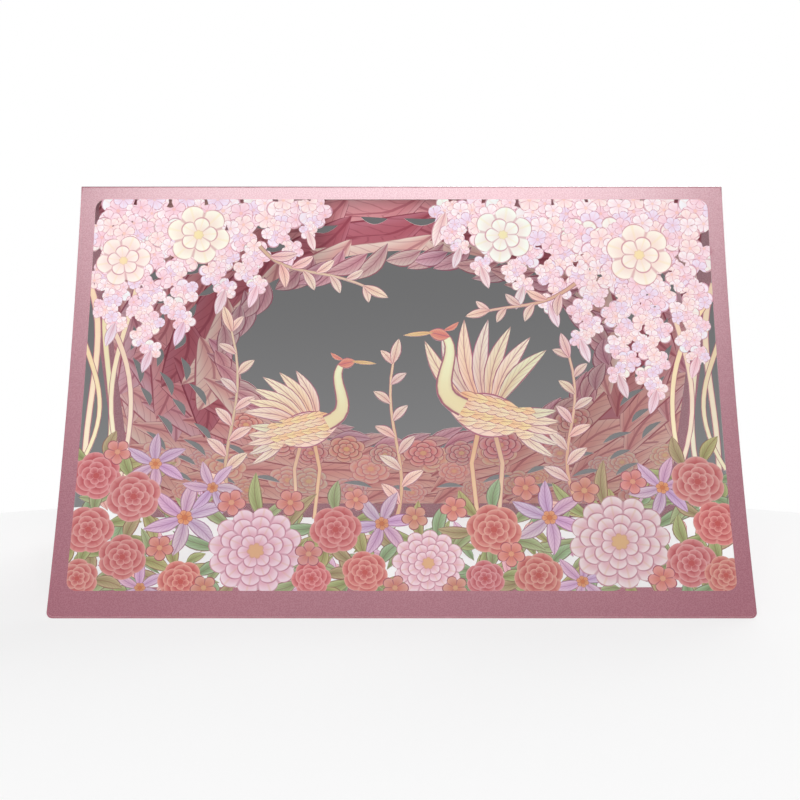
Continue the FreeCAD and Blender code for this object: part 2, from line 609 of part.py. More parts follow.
# The chords of the flats stay clear of the bowed cover, so the panels touch it and never cut it.
flat_share = math.cos(0.5 * bow.step)
inner_face = bow.radius + size("cover_thickness")
front_section = bent_section(bow.radius, bow.radius - size("panel_thickness") / flat_share, 1.0)
back_section = bent_section(inner_face / flat_share, (inner_face + size("panel_thickness")) / flat_share, -1.0)
cover = make_cover()
front_panel = make_panel("front_panel", front_lace(), front_section, "-", "90 - (" + MEAN_LEAN + ")")
back_panel = make_panel("back_panel", back_lace(), back_section, "", "90 + (" + MEAN_LEAN + ")")
document.recompute()

for item in document.Objects:
    if "Invalid" in item.State or "Error" in item.State:
        raise RuntimeError(f"{item.Label} failed")
os.makedirs("parts", exist_ok=True)
for part in (cover, front_panel, back_panel):
    if part.Shape.isNull() or not part.Shape.isValid():
        raise RuntimeError(f"{part.Label} has no valid shape")
    box = part.Shape.BoundBox
    print(part.Label, len(part.Shape.Solids), "solid", len(part.Shape.Edges), "edges",
          f"{part.Shape.Volume:.1f} mm3, {box.XLength:.2f} x {box.YLength:.2f} x {box.ZLength:.2f}")
for part in (cover, front_panel, back_panel):
    part.Shape.exportStep(f"parts/{part.Label}.step")
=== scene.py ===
"""Dress a tent-folded, laser-cut paper card: its pearl cover and its two printed, cut panels."""
import logging
import math
from collections.abc import Callable
from dataclasses import dataclass, field
from enum import Enum

import bmesh
import bpy
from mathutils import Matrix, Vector
from mathutils.geometry import delaunay_2d_cdt


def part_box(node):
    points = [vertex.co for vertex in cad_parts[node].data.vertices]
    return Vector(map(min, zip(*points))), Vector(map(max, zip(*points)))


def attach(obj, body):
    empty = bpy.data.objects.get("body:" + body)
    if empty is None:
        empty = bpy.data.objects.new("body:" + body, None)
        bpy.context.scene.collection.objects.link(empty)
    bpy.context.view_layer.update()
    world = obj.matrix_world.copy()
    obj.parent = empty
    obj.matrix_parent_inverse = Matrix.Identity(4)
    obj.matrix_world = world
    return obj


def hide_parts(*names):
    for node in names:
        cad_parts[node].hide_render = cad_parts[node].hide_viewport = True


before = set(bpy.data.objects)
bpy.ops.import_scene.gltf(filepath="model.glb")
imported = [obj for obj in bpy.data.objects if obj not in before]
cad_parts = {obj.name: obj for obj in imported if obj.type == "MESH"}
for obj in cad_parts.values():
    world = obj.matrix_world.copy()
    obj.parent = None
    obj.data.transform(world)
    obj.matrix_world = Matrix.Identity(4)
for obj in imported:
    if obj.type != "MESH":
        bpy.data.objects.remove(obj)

Point = tuple[float, float]
Outline = list[Point]
Colour = tuple[float, float, float]

MM = 0.001
WHITE: Colour = (1.0, 1.0, 1.0)
TURN = 2.0 * math.pi
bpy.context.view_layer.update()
log = logging.getLogger("card")


class Form(Enum):
    """How a motif is drawn, which sets how its print is laid on it."""

    SHEET = "sheet"
    ROSETTE = "rosette"
    LENS = "lens"
    BAND = "band"


class Print(Enum):
    """The printed colours that a motif can have."""

    PEARL = "pearl"
    BLOSSOM = "blossom"
    BUD = "bud"
    MAGNOLIA = "magnolia"
    SIDE_STEM = "side_stem"
    TWIG = "twig"
    TWIG_LEAF = "twig_leaf"
    FEATHER = "feather"
    BIRD_BODY = "bird_body"
    BIRD_HEAD = "bird_head"
    BEAK = "beak"
    LEAF = "leaf"
    UNDER_PETAL = "under_petal"
    STAR_PETAL = "star_petal"
    STAR_HEART = "star_heart"
    DAHLIA = "dahlia"
    CAMELLIA = "camellia"
    SMALL_FLOWER = "small_flower"
    WREATH_LEAF = "wreath_leaf"
    WREATH_FLOWER = "wreath_flower"
    GROUND = "ground"
    RING_PETAL = "ring_petal"
    LOW_FLOWER = "low_flower"
    CUT_EDGE = "cut_edge"


@dataclass
class Motif:
    """A cut shape: its outline in drawing millimetres, its print and how the print is laid on it."""

    outline: Outline
    style: Print
    form: Form
    local: Callable[[float, float], Point]
    tint: Colour = WHITE
    print_only: bool = False

    def placed(self, x: float, up: float, flip: float, scale: float) -> "Motif":
        """Return the motif mirrored, scaled and moved.

        Args:
            x: Move to the right.
            up: Move upwards.
            flip: -1 to mirror it left to right, or 1.
            scale: Size factor.

        Returns:
            The moved motif, with its print moved along.
        """
        outline = [(x + scale * flip * px, up + scale * py) for px, py in self.outline]
        inner = self.local

        def local(px: float, py: float) -> Point:
            return inner((px - x) / (scale * flip), (py - up) / scale)

        return Motif(outline, self.style, self.form, local, self.tint, self.print_only)


def tinted(seed: float, spread: float = 0.06) -> Colour:
    """Return a tint that differs a little from motif to motif.

    Args:
        seed: Any number that belongs to the motif.
        spread: How far a channel may move from 1.

    Returns:
        Factors for red, green and blue.
    """
    return tuple(1.0 - spread + spread * math.sin(seed * factor) for factor in (12.9, 7.3, 4.1))


def lens(x: float, up: float, length: float, width: float, turn: float, bend: float,
         style: Print, steps: int = 7) -> Motif:
    """Draw a leaf, feather or slender petal with two curved sides.

    Args:
        x: Root of the leaf across.
        up: Root of the leaf upwards.
        length: Root to tip.
        width: Widest place.
        turn: Direction of the tip, radians.
        bend: Sideways bow as a share of the length.
        style: Its print.
        steps: Steps along each side.

    Returns:
        The motif.
    """
    c = math.cos(turn)
    s = math.sin(turn)
    one = []
    other = []
    for step in range(steps + 1):
        along = step / steps
        middle = bend * length * math.sin(math.pi * along)
        half = 0.5 * width * math.sin(math.pi * along) ** 0.85
        one.append((along * length, middle + half))
        if 0 < step < steps:
            other.append((along * length, middle - half))
    outline = [(x + px * c - py * s, up + px * s + py * c) for px, py in one + other[::-1]]

    def local(px: float, py: float) -> Point:
        along = ((px - x) * c + (py - up) * s) / length
        across = (py - up) * c - (px - x) * s
        share = min(max(along, 0.0), 1.0)
        return along, (across - bend * length * math.sin(math.pi * share)) / width

    return Motif(outline, style, Form.LENS, local, tinted(x + 3.0 * up + turn))


def rosette(x: float, up: float, radius: float, lobes: int, depth: float, turn: float,
            style: Print, steps: int = 7) -> Motif:
    """Draw a round flower head whose edge runs in petal lobes.

    Args:
        x: Middle across.
        up: Middle upwards.
        radius: Reach of the petals.
        lobes: Number of petals on the edge.
        depth: Depth of the notches as a share of the radius.
        turn: Direction of the first notch, radians.
        style: Its print.
        steps: Steps along each petal.

    Returns:
        The motif.
    """
    outline = []
    for step in range(lobes * steps):
        swell = abs(math.sin(math.pi * step / steps)) ** 0.7
        reach = radius * (1.0 - depth + depth * swell)
        angle = turn + TURN * step / (lobes * steps)
        outline.append((x + reach * math.cos(angle), up + reach * math.sin(angle)))
    c = math.cos(turn)
    s = math.sin(turn)

    def local(px: float, py: float) -> Point:
        return (((px - x) * c + (py - up) * s) / radius, ((py - up) * c - (px - x) * s) / radius)

    return Motif(outline, style, Form.ROSETTE, local, tinted(2.0 * x + up))


def flowers(places: tuple, lobes: int, depth: float, style: Print, steps: int = 7) -> list[Motif]:
    """Draw one round flower at each place, given as across, upwards, radius and turn."""
    return [rosette(x, up, radius, lobes, depth, turn, style, steps) for x, up, radius, turn in places]


def curve(start: Point, lean_a: Point, lean_b: Point, end: Point, steps: int) -> Outline:
    """Return points along a cubic curve.

    Args:
        start: First point.
        lean_a: Point that the start leans to.
        lean_b: Point that the end leans to.
        end: Last point.
        steps: Steps along the curve.

    Returns:
        The points, the ends included.
    """
    corners = (start, lean_a, lean_b, end)
    points = []
    for step in range(steps + 1):
        t = step / steps
        shares = ((1 - t) ** 3, 3 * t * (1 - t) ** 2, 3 * t * t * (1 - t), t ** 3)
        points.append(tuple(sum(share * corner[i] for share, corner in zip(shares, corners))
                            for i in range(2)))
    return points


def band(line: Outline, width: float, tip_width: float, style: Print) -> Motif:
    """Draw a tapering stem along a line.

    Args:
        line: Points along the stem.
        width: Width at its start.
        tip_width: Width at its end.
        style: Its print.

    Returns:
        The motif.
    """
    last = len(line) - 1
    left = []
    right = []
    halves = []
    for i, (x, up) in enumerate(line):
        x0, up0 = line[max(i - 1, 0)]
        x1, up1 = line[min(i + 1, last)]
        run = math.hypot(x1 - x0, up1 - up0)
        half = 0.5 * (width + (tip_width - width) * i / last)
        halves.append(half)
        left.append((x - half * (up1 - up0) / run, up + half * (x1 - x0) / run))
        right.append((x + half * (up1 - up0) / run, up - half * (x1 - x0) / run))

    def local(px: float, py: float) -> Point:
        best = (1.0e9, 0.0, 0.0)
        for i in range(last):
            (ax, ay), (bx, by) = line[i], line[i + 1]
            run = math.hypot(bx - ax, by - ay)
            along = ((px - ax) * (bx - ax) + (py - ay) * (by - ay)) / run ** 2
            share = min(max(along, 0.0), 1.0)
            far = math.hypot(px - ax - share * (bx - ax), py - ay - share * (by - ay))
            side = ((by - ay) * (px - ax) - (bx - ax) * (py - ay)) / run
            if far < best[0]:
                half = halves[i] + (halves[i + 1] - halves[i]) * share
                best = (far, (i + share) / last, 0.5 * side / half)
        return best[1], best[2]

    return Motif(left + right[::-1], style, Form.BAND, local, tinted(line[0][0] + line[0][1]))


def counter_clockwise(outline: Outline) -> Outline:
    """Return an outline in counter-clockwise order."""
    area = sum(x0 * y1 - x1 * y0 for (x0, y0), (x1, y1) in zip(outline, outline[1:] + outline[:1]))
    return outline if area > 0 else outline[::-1]


@dataclass
class CardSizes:
    """Sizes of the folded card, in metres and radians."""

    leaf_length: float = 148.0 * MM
    fold_lean: float = math.radians(23.0)
    foot_lean: float = math.radians(39.0)
    cover_thickness: float = 0.35 * MM
    panel_thickness: float = 0.25 * MM
    fold_inside: float = 0.15 * MM
    foot_corner: float = 2.0 * MM
    cover_side: float = 4.7 * MM
    cover_top: float = 5.0 * MM
    cover_foot: float = 10.0 * MM
    cover_corner: float = 2.5 * MM
    panel_side: float = 5.0 * MM
    panel_top: float = 5.4 * MM
    panel_foot: float = 8.7 * MM
    panel_corner: float = 3.2 * MM
    drawing_width: float = 200.0
    drawing_height: float = 133.4
    width: float = field(init=False)

    def __post_init__(self) -> None:
        """Take the card's width from the frame."""
        low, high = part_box("cover")
        self.width = high[0] - low[0]

    @property
    def half_bend(self) -> float:
        """Half of the angle that a leaf bows through."""
        return 0.5 * (self.foot_lean - self.fold_lean)

    @property
    def mean_lean(self) -> float:
        """Lean of a leaf's chord from upright."""
        return 0.5 * (self.foot_lean + self.fold_lean)

    @property
    def radius(self) -> float:
        """Radius of the bow at the cover's outer face."""
        return 0.5 * self.leaf_length / self.half_bend

    @property
    def chord(self) -> float:
        """Straight length from the foot to the sharp fold."""
        return 2.0 * self.radius * math.sin(self.half_bend)

    @property
    def reach(self) -> float:
        """Distance from the middle to a foot."""
        return self.radius * (math.cos(self.fold_lean) - math.cos(self.foot_lean))

    def on_leaf(self, x: float, up: float, depth: float, side: float) -> Vector:
        """Place a point on a leaf.

        Args:
            x: Across the card.
            up: Up the chord from the foot.
            depth: Distance inwards from the cover's outer face, negative outwards.
            side: -1 for the front leaf, 1 for the back leaf.

        Returns:
            The point in the row frame.
        """
        angle = math.asin((self.radius * math.sin(self.half_bend) - up) / self.radius)
        radius = self.radius + depth
        lean = self.mean_lean + angle
        out = self.radius * math.cos(self.fold_lean) - radius * math.cos(lean)
        height = self.radius * math.sin(self.foot_lean) - radius * math.sin(lean)
        return Vector((x, side * out, max(height, 0.0)))

    @property
    def drawing_scale(self) -> Point:
        """Metres on a panel for one drawing millimetre, across and upwards."""
        wide = (self.width - 2.0 * self.panel_side) / self.drawing_width
        return wide, (self.chord - self.panel_top - self.panel_foot) / self.drawing_height

    def in_window(self, point: Point) -> Point:
        """Scale a drawing point to the panels' window, in metres across and up the chord."""
        wide, tall = self.drawing_scale
        return wide * point[0], self.panel_foot + tall * point[1]

    def to_drawing(self, point: Point) -> Point:
        """Turn a place on a panel back into drawing millimetres."""
        wide, tall = self.drawing_scale
        return point[0] / wide, (point[1] - self.panel_foot) / tall


def rounded_outline(left: float, right: float, foot: float, top: float, foot_radius: float,
                    top_radius: float, steps: int = 6) -> Outline:
    """Return a rectangle with rounded corners.

    Args:
        left: Left side.
        right: Right side.
        foot: Lower side.
        top: Upper side.
        foot_radius: Radius of the lower corners.
        top_radius: Radius of the upper corners, or 0.
        steps: Steps round each corner.

    Returns:
        The outline, counter-clockwise.
    """
    corners = [(right - foot_radius, foot + foot_radius, -90, foot_radius),
               (right - top_radius, top - top_radius, 0, top_radius),
               (left + top_radius, top - top_radius, 90, top_radius),
               (left + foot_radius, foot + foot_radius, 180, foot_radius)]
    points = []
    for x, y, start, radius in corners:
        for step in range(steps + 1 if radius else 1):
            angle = math.radians(start + 90 * step / steps)
            points.append((x + radius * math.cos(angle), y + radius * math.sin(angle)))
    return points


# Finishes


class NodeTools:
    """Short ways to add nodes to a tree."""

    def __init__(self, tree: bpy.types.NodeTree) -> None:
        """Keep the tree that nodes are added to."""
        self.tree = tree

    def node(self, kind: str, values: dict[str, float] | None = None, **settings: object) -> bpy.types.Node:
        """Add a node, set its properties and fill its sockets.

        Args:
            kind: Type name of the node.
            values: Socket names and the numbers that they take.
            **settings: Properties to set on it.

        Returns:
            The node.
        """
        made = self.tree.nodes.new(kind)
        for name, value in settings.items():
            setattr(made, name, value)
        for name, number in (values or {}).items():
            made.inputs[name].default_value = number
        return made

    def link(self, value: object, socket: bpy.types.NodeSocket) -> None:
        """Feed a socket with another socket or with a plain value."""
        if isinstance(value, bpy.types.NodeSocket):
            self.tree.links.new(value, socket)
        else:
            socket.default_value = value

    def math(self, operation: str, *values: object) -> bpy.types.NodeSocket:
        """Add a Math node and return its result."""
        made = self.node("ShaderNodeMath", operation=operation)
        for value, socket in zip(values, made.inputs):
            self.link(value, socket)
        return made.outputs[0]

    def mix(self, share: object, one: object, other: object) -> bpy.types.NodeSocket:
        """Mix two colours and return the result."""
        made = self.node("ShaderNodeMix", data_type="RGBA")
        self.link(share, made.inputs[0])
        self.link(one, made.inputs[6])
        self.link(other, made.inputs[7])
        return made.outputs[2]

    def multiply(self, one: object, other: object) -> bpy.types.NodeSocket:
        """Multiply two colours and return the result."""
        product = self.mix(1.0, one, other)
        product.node.blend_type = "MULTIPLY"
        return product

    def between(self, value: object, low: float, high: float, start: float = 0.0,
                end: float = 1.0) -> bpy.types.NodeSocket:
        """Ease a value from one range into another.

        Args:
            value: The value.
            low: Where the result is start.
            high: Where the result is end.
            start: Result at low.
            end: Result at high.

        Returns:
            The eased value.
        """
        made = self.node("ShaderNodeMapRange", interpolation_type="SMOOTHSTEP")
        self.link(value, made.inputs[0])
        for socket, number in zip(made.inputs[1:5], (low, high, start, end)):
            socket.default_value = number
        return made.outputs[0]


def full(colour: Colour) -> tuple[float, float, float, float]:
    """Return an opaque colour."""
    return (*colour, 1.0)


class PaperGroup:
    """Shared effect: the fine fibre and pearl flakes of the card."""

    name = "pearl_paper"
    cloud = {"Scale": 22.0, "Detail": 3.0}
    fibre = {"Scale": 1400.0, "Detail": 2.0}
    flake = {"Scale": 2600.0}
    cloud_shade: Colour = (0.94, 0.94, 0.95)

    def build(self) -> bpy.types.NodeTree:
        """Build the node group once.

        Returns:
            The group, with a shade and a height.
        """
        made = bpy.data.node_groups.get(self.name)
        if made:
            return made
        made = bpy.data.node_groups.new(self.name, "ShaderNodeTree")
        for name, kind in (("Shade", "Color"), ("Height", "Float"), ("Flakes", "Float")):
            made.interface.new_socket(name, in_out="OUTPUT", socket_type="NodeSocket" + kind)
        tools = NodeTools(made)
        place = tools.node("ShaderNodeTexCoord").outputs["Object"]
        cloud = tools.node("ShaderNodeTexNoise", self.cloud)
        fibre = tools.node("ShaderNodeTexNoise", self.fibre)
        flake = tools.node("ShaderNodeTexVoronoi", self.flake)
        for texture in (cloud, fibre, flake):
            tools.link(place, texture.inputs["Vector"])
        shade = tools.mix(tools.between(cloud.outputs[0], 0.3, 0.7), full(self.cloud_shade), full(WHITE))
        out = tools.node("NodeGroupOutput")
        for value, socket in zip((shade, fibre.outputs[0], flake.outputs["Distance"]), out.inputs):
            tools.link(value, socket)
        return made


class MotifGroup:
    """Shared effect: where a place lies in a motif, from the motif's own coordinates."""

    def __init__(self, form: Form) -> None:
        """Choose the form of the motif."""
        self.form = form
        self.name = form.value + "_place"

    def build(self) -> bpy.types.NodeTree:
        """Build the node group once.

        Returns:
            The group. Edge runs from 0 in the middle to 1 at the outline, Along from 0 to 1 from
            root to tip or round the flower, and Petal from 0 on a petal's middle to 1 between two.
        """
        made = bpy.data.node_groups.get(self.name)
        if made:
            return made
        made = bpy.data.node_groups.new(self.name, "ShaderNodeTree")
        for name in ("Lobes", "Depth", "Turn"):
            made.interface.new_socket(name, in_out="INPUT", socket_type="NodeSocketFloat")
        for name in ("Edge", "Along", "Petal"):
            made.interface.new_socket(name, in_out="OUTPUT", socket_type="NodeSocketFloat")
        tools = NodeTools(made)
        given = tools.node("NodeGroupInput")
        place = tools.node("ShaderNodeUVMap", uv_map="motif").outputs[0]
        split = tools.node("ShaderNodeSeparateXYZ")
        tools.link(place, split.inputs[0])
        first, second = split.outputs[0], split.outputs[1]
        out = tools.node("NodeGroupOutput")
        if self.form is Form.ROSETTE:
            angle = tools.math("DIVIDE", tools.math("ARCTAN2", second, first), TURN)
            turned = tools.math("ADD", tools.math("ADD", angle, 1.0), given.outputs["Turn"])
            petal = tools.math("FRACT", tools.math("MULTIPLY", turned, given.outputs["Lobes"]))
            swell = tools.math("POWER", tools.math("SINE", tools.math("MULTIPLY", petal, math.pi)), 0.7)
            notch = tools.math("MULTIPLY", tools.math("SUBTRACT", 1.0, swell), given.outputs["Depth"])
            reach = tools.math("SUBTRACT", 1.0, notch)
            far = tools.math("SQRT", tools.math("ADD", tools.math("MULTIPLY", first, first),
                                                tools.math("MULTIPLY", second, second)))
            tools.link(tools.math("DIVIDE", far, reach), out.inputs[0])
            tools.link(turned, out.inputs[1])
            offset = tools.math("ABSOLUTE", tools.math("SUBTRACT", petal, 0.5))
            tools.link(tools.math("MULTIPLY", offset, 2.0), out.inputs[2])
        else:
            across = tools.math("MULTIPLY", tools.math("ABSOLUTE", second), 2.0)
            if self.form is Form.LENS:
                inside = tools.math("MINIMUM", tools.math("MAXIMUM", first, 0.02), 0.98)
                swell = tools.math("SINE", tools.math("MULTIPLY", inside, math.pi))
                belly = tools.math("POWER", swell, 0.85)
                across = tools.math("DIVIDE", across, belly)
            tools.link(across, out.inputs[0])
            tools.link(first, out.inputs[1])
            tools.link(tools.math("ABSOLUTE", second), out.inputs[2])
        return made


@dataclass(frozen=True)
class PrintFinish:
    """Printed pearl paper: the colours of one kind of motif."""

    style: Print
    form: Form
    heart: Colour
    body: Colour
    rim: Colour
    line: Colour = (0.38, 0.10, 0.16)
    line_width: float = 0.10
    lobes: float = 5.0
    depth: float = 0.3
    rings: int = 1
    heart_size: float = 0.25
    metallic: float = 0.0
    roughness: float = 0.45
    coat: float = 0.0
    coat_ior: float = 1.5
    sparkle: float = 0.06

    def material(self) -> bpy.types.Material:
        """Return the finish as a material, built once.

        Returns:
            The material.
        """
        name = "print_" + self.style.value
        made = bpy.data.materials.get(name)
        if made:
            return made
        made = bpy.data.materials.new(name)
        made.use_nodes = True
        tree = made.node_tree
        tools = NodeTools(tree)
        surface = tree.nodes["Principled BSDF"]
        paper = tools.node("ShaderNodeGroup", node_tree=PaperGroup().build())
        colour: object = full(self.body)
        if self.form is Form.ROSETTE:
            colour = self.flower_colour(tools)
        elif self.form in (Form.LENS, Form.BAND):
            colour = self.leaf_colour(tools)
        tint = tools.node("ShaderNodeAttribute", attribute_name="tint")
        shaded = tools.multiply(tools.multiply(colour, tint.outputs["Color"]), paper.outputs["Shade"])
        tools.link(shaded, surface.inputs["Base Color"])
        surface.inputs["Metallic"].default_value = self.metallic
        rough = tools.between(paper.outputs["Flakes"], 0.0, 0.7, self.roughness - self.sparkle,
                              self.roughness + self.sparkle)
        tools.link(rough, surface.inputs["Roughness"])
        surface.inputs["Coat Weight"].default_value = self.coat
        surface.inputs["Coat IOR"].default_value = self.coat_ior
        surface.inputs["Coat Roughness"].default_value = self.roughness
        bump = tools.node("ShaderNodeBump", {"Strength": 0.12, "Distance": 0.05 * MM})
        tools.link(paper.outputs["Height"], bump.inputs["Height"])
        tools.link(bump.outputs[0], surface.inputs["Normal"])
        return made

    def flower_colour(self, tools: NodeTools) -> bpy.types.NodeSocket:
        """Paint rings of petals round a heart.

        Args:
            tools: The tree to add to.

        Returns:
            The colour.
        """
        colour: object = full(self.body)
        for ring in range(self.rings):
            outer = 1.0 - ring * (1.0 - self.heart_size) / self.rings
            inner = outer - (1.0 - self.heart_size) / self.rings
            petals = {"Lobes": max(5.0, self.lobes - 2.0 * ring), "Depth": self.depth + 0.04 * ring,
                      "Turn": 0.137 * ring}
            place = tools.node("ShaderNodeGroup", petals, node_tree=MotifGroup(Form.ROSETTE).build())
            edge = tools.math("DIVIDE", place.outputs["Edge"], outer)
            pale = tools.between(edge, inner / outer - 0.05, 0.97)
            fill = tools.mix(pale, full(self.body), full(self.rim))
            width = self.line_width / outer
            outline = tools.between(edge, 1.0 - width, 1.0 - 0.5 * width)
            crease = tools.math("MULTIPLY", tools.between(place.outputs["Petal"], 0.80, 0.97),
                                tools.between(edge, inner / outer - 0.2, inner / outer + 0.1))
            streak = tools.between(place.outputs["Petal"], 0.16, 0.0, 0.0, 0.35)
            fill = tools.mix(streak, fill, full(self.heart))
            marks = tools.math("MAXIMUM", outline, tools.math("MULTIPLY", crease, 0.75))
            drawn = tools.mix(marks, fill, full(self.line))
            if ring == 0:
                colour = drawn
            else:
                inside = tools.between(edge, 1.0 + 0.3 * width, 1.0)
                colour = tools.mix(inside, colour, drawn)
        middle = tools.node("ShaderNodeGroup", node_tree=MotifGroup(Form.ROSETTE).build())
        for name, number in (("Lobes", 7.0), ("Depth", 0.25), ("Turn", 0.0)):
            middle.inputs[name].default_value = number
        share = tools.math("DIVIDE", middle.outputs["Edge"], self.heart_size)
        inside = tools.between(share, 1.0, 0.86)
        dark = tools.math("MULTIPLY", tools.between(share, 0.7, 1.0), 0.6)
        return tools.mix(inside, colour, tools.mix(dark, full(self.heart), full(self.line)))

    def leaf_colour(self, tools: NodeTools) -> bpy.types.NodeSocket:
        """Paint a leaf, petal, feather or stem with its midrib, side veins and outline.

        Args:
            tools: The tree to add to.

        Returns:
            The colour.
        """
        place = tools.node("ShaderNodeGroup", node_tree=MotifGroup(self.form).build())
        edge = place.outputs["Edge"]
        along = place.outputs["Along"]
        colour = tools.mix(tools.between(along, 0.0, 0.9), full(self.heart), full(self.body))
        colour = tools.mix(tools.between(edge, 0.25, 1.0), colour, full(self.rim))
        outline = tools.between(edge, 1.0 - 2.2 * self.line_width, 1.0 - self.line_width)
        if self.form is Form.BAND:
            return tools.mix(outline, colour, full(self.line))
        slant = tools.math("SUBTRACT", tools.math("MULTIPLY", along, 7.0),
                           tools.math("MULTIPLY", place.outputs["Petal"], 5.0))
        wave = tools.math("ABSOLUTE", tools.math("SUBTRACT", tools.math("FRACT", slant), 0.5))
        veins = tools.between(wave, 0.10, 0.02, 0.0, 0.45)
        midrib = tools.between(place.outputs["Petal"], 0.05, 0.02, 0.0, 0.7)
        marks = tools.math("MAXIMUM", outline, tools.math("MAXIMUM", veins, midrib))
        return tools.mix(marks, colour, full(self.line))


def plain(style: Print, colour: Colour, **settings: float) -> PrintFinish:
    """Return a finish of one colour."""
    return PrintFinish(style, Form.SHEET, colour, colour, colour, **settings)


FINISHES = [
    plain(Print.PEARL, (0.37, 0.110, 0.155), metallic=0.08, roughness=0.24, coat=1.0, coat_ior=1.9),
    plain(Print.CUT_EDGE, (0.80, 0.62, 0.60), roughness=0.8),
    PrintFinish(Print.BLOSSOM, Form.ROSETTE, (0.92, 0.64, 0.56), (0.93, 0.74, 0.79), (0.98, 0.90, 0.91),
                line=(0.66, 0.32, 0.40), lobes=5.0, depth=0.34, heart_size=0.17),
    PrintFinish(Print.BUD, Form.LENS, (0.84, 0.50, 0.54), (0.92, 0.72, 0.78), (0.97, 0.86, 0.88),
                line=(0.62, 0.28, 0.36)),
    PrintFinish(Print.MAGNOLIA, Form.ROSETTE, (0.92, 0.74, 0.44), (0.94, 0.76, 0.74), (0.99, 0.92, 0.88),
                line=(0.66, 0.32, 0.38), lobes=6.0, depth=0.26, rings=2, line_width=0.05, heart_size=0.18),
    PrintFinish(Print.SIDE_STEM, Form.BAND, (0.90, 0.68, 0.44), (0.94, 0.84, 0.60), (0.86, 0.62, 0.42),
                line_width=0.14),
    PrintFinish(Print.TWIG, Form.BAND, (0.70, 0.42, 0.26), (0.80, 0.56, 0.38), (0.60, 0.32, 0.24),
                line_width=0.14),
    PrintFinish(Print.TWIG_LEAF, Form.LENS, (0.80, 0.46, 0.40), (0.86, 0.66, 0.52), (0.92, 0.72, 0.66)),
    PrintFinish(Print.FEATHER, Form.LENS, (0.80, 0.50, 0.34), (0.88, 0.78, 0.56), (0.90, 0.76, 0.62)),
    PrintFinish(Print.BIRD_BODY, Form.LENS, (0.84, 0.56, 0.40), (0.86, 0.64, 0.42), (0.90, 0.76, 0.58),
                line_width=0.05),
    PrintFinish(Print.BIRD_HEAD, Form.LENS, (0.70, 0.20, 0.16), (0.74, 0.26, 0.18), (0.80, 0.40, 0.26)),
    PrintFinish(Print.BEAK, Form.LENS, (0.76, 0.46, 0.18), (0.82, 0.56, 0.26), (0.80, 0.50, 0.22)),
    PrintFinish(Print.LEAF, Form.LENS, (0.36, 0.38, 0.20), (0.58, 0.58, 0.38), (0.72, 0.70, 0.52),
                line=(0.34, 0.20, 0.16)),
    PrintFinish(Print.UNDER_PETAL, Form.LENS, (0.80, 0.52, 0.52), (0.90, 0.72, 0.70), (0.96, 0.84, 0.82),
                line=(0.52, 0.20, 0.26)),
    PrintFinish(Print.STAR_PETAL, Form.LENS, (0.60, 0.40, 0.60), (0.74, 0.54, 0.68), (0.84, 0.70, 0.78),
                line=(0.40, 0.18, 0.34)),
    PrintFinish(Print.STAR_HEART, Form.ROSETTE, (0.70, 0.30, 0.10), (0.80, 0.48, 0.18), (0.86, 0.60, 0.30),
                lobes=6.0, depth=0.2, heart_size=0.4),
    PrintFinish(Print.DAHLIA, Form.ROSETTE, (0.78, 0.50, 0.24), (0.82, 0.52, 0.56), (0.95, 0.84, 0.82),
                line=(0.60, 0.28, 0.34), lobes=12.0, depth=0.14, rings=4, line_width=0.035, heart_size=0.2),
    PrintFinish(Print.CAMELLIA, Form.ROSETTE, (0.62, 0.14, 0.12), (0.62, 0.16, 0.16), (0.84, 0.46, 0.40),
                line=(0.86, 0.62, 0.52), lobes=6.0, depth=0.12, rings=4, line_width=0.05, heart_size=0.16),
    PrintFinish(Print.SMALL_FLOWER, Form.ROSETTE, (0.84, 0.62, 0.34), (0.74, 0.34, 0.24), (0.86, 0.58, 0.46),
                lobes=5.0, depth=0.36, heart_size=0.24),
    PrintFinish(Print.WREATH_LEAF, Form.LENS, (0.70, 0.34, 0.40), (0.84, 0.52, 0.54), (0.94, 0.72, 0.70),
                line=(0.44, 0.12, 0.18)),
    PrintFinish(Print.WREATH_FLOWER, Form.ROSETTE, (0.96, 0.62, 0.36), (0.90, 0.36, 0.34), (0.98, 0.68, 0.60),
                line=(0.56, 0.14, 0.18), lobes=6.0, depth=0.2, rings=3, line_width=0.06, heart_size=0.2),
    plain(Print.GROUND, (0.60, 0.24, 0.28)),
    PrintFinish(Print.RING_PETAL, Form.LENS, (0.84, 0.50, 0.50), (0.96, 0.74, 0.70), (0.98, 0.86, 0.82),
                line=(0.52, 0.16, 0.22), line_width=0.06),
    PrintFinish(Print.LOW_FLOWER, Form.ROSETTE, (0.98, 0.66, 0.40), (0.96, 0.52, 0.42), (0.98, 0.78, 0.68),
                line=(0.80, 0.34, 0.34), lobes=7.0, depth=0.18, rings=3, line_width=0.06, heart_size=0.2),
]


# Drawings


LEAF_TINTS = ((0.90, 0.98, 0.72), (0.72, 0.98, 0.94), (1.0, 0.78, 0.72), (0.84, 0.96, 0.84),
              (1.0, 0.92, 0.66))
FEATHER_TINTS = ((1.0, 0.96, 0.88), (1.0, 0.80, 0.62), (1.0, 0.88, 0.84), (1.0, 0.92, 0.66))
UNDER_TINTS = ((1.0, 0.80, 0.86), (1.0, 0.72, 0.60), (0.88, 0.80, 1.0), (1.0, 0.88, 0.74))
BLOSSOM_TINTS = ((1.0, 0.98, 0.98), (0.98, 0.86, 0.90), (0.90, 0.84, 0.97), (1.0, 0.90, 0.86),
                 (0.96, 0.78, 0.84))
RING_TINTS = ((1.0, 0.94, 0.86), (0.86, 0.52, 0.58), (1.0, 0.84, 0.84), (0.58, 0.22, 0.30),
              (0.88, 0.66, 0.78))
# Light peach blended into the lower back leaf's petals: painted light for the window light and warm bounce
# there
PAINTED_LIGHT_PEACH = (1.0, 0.84, 0.74)
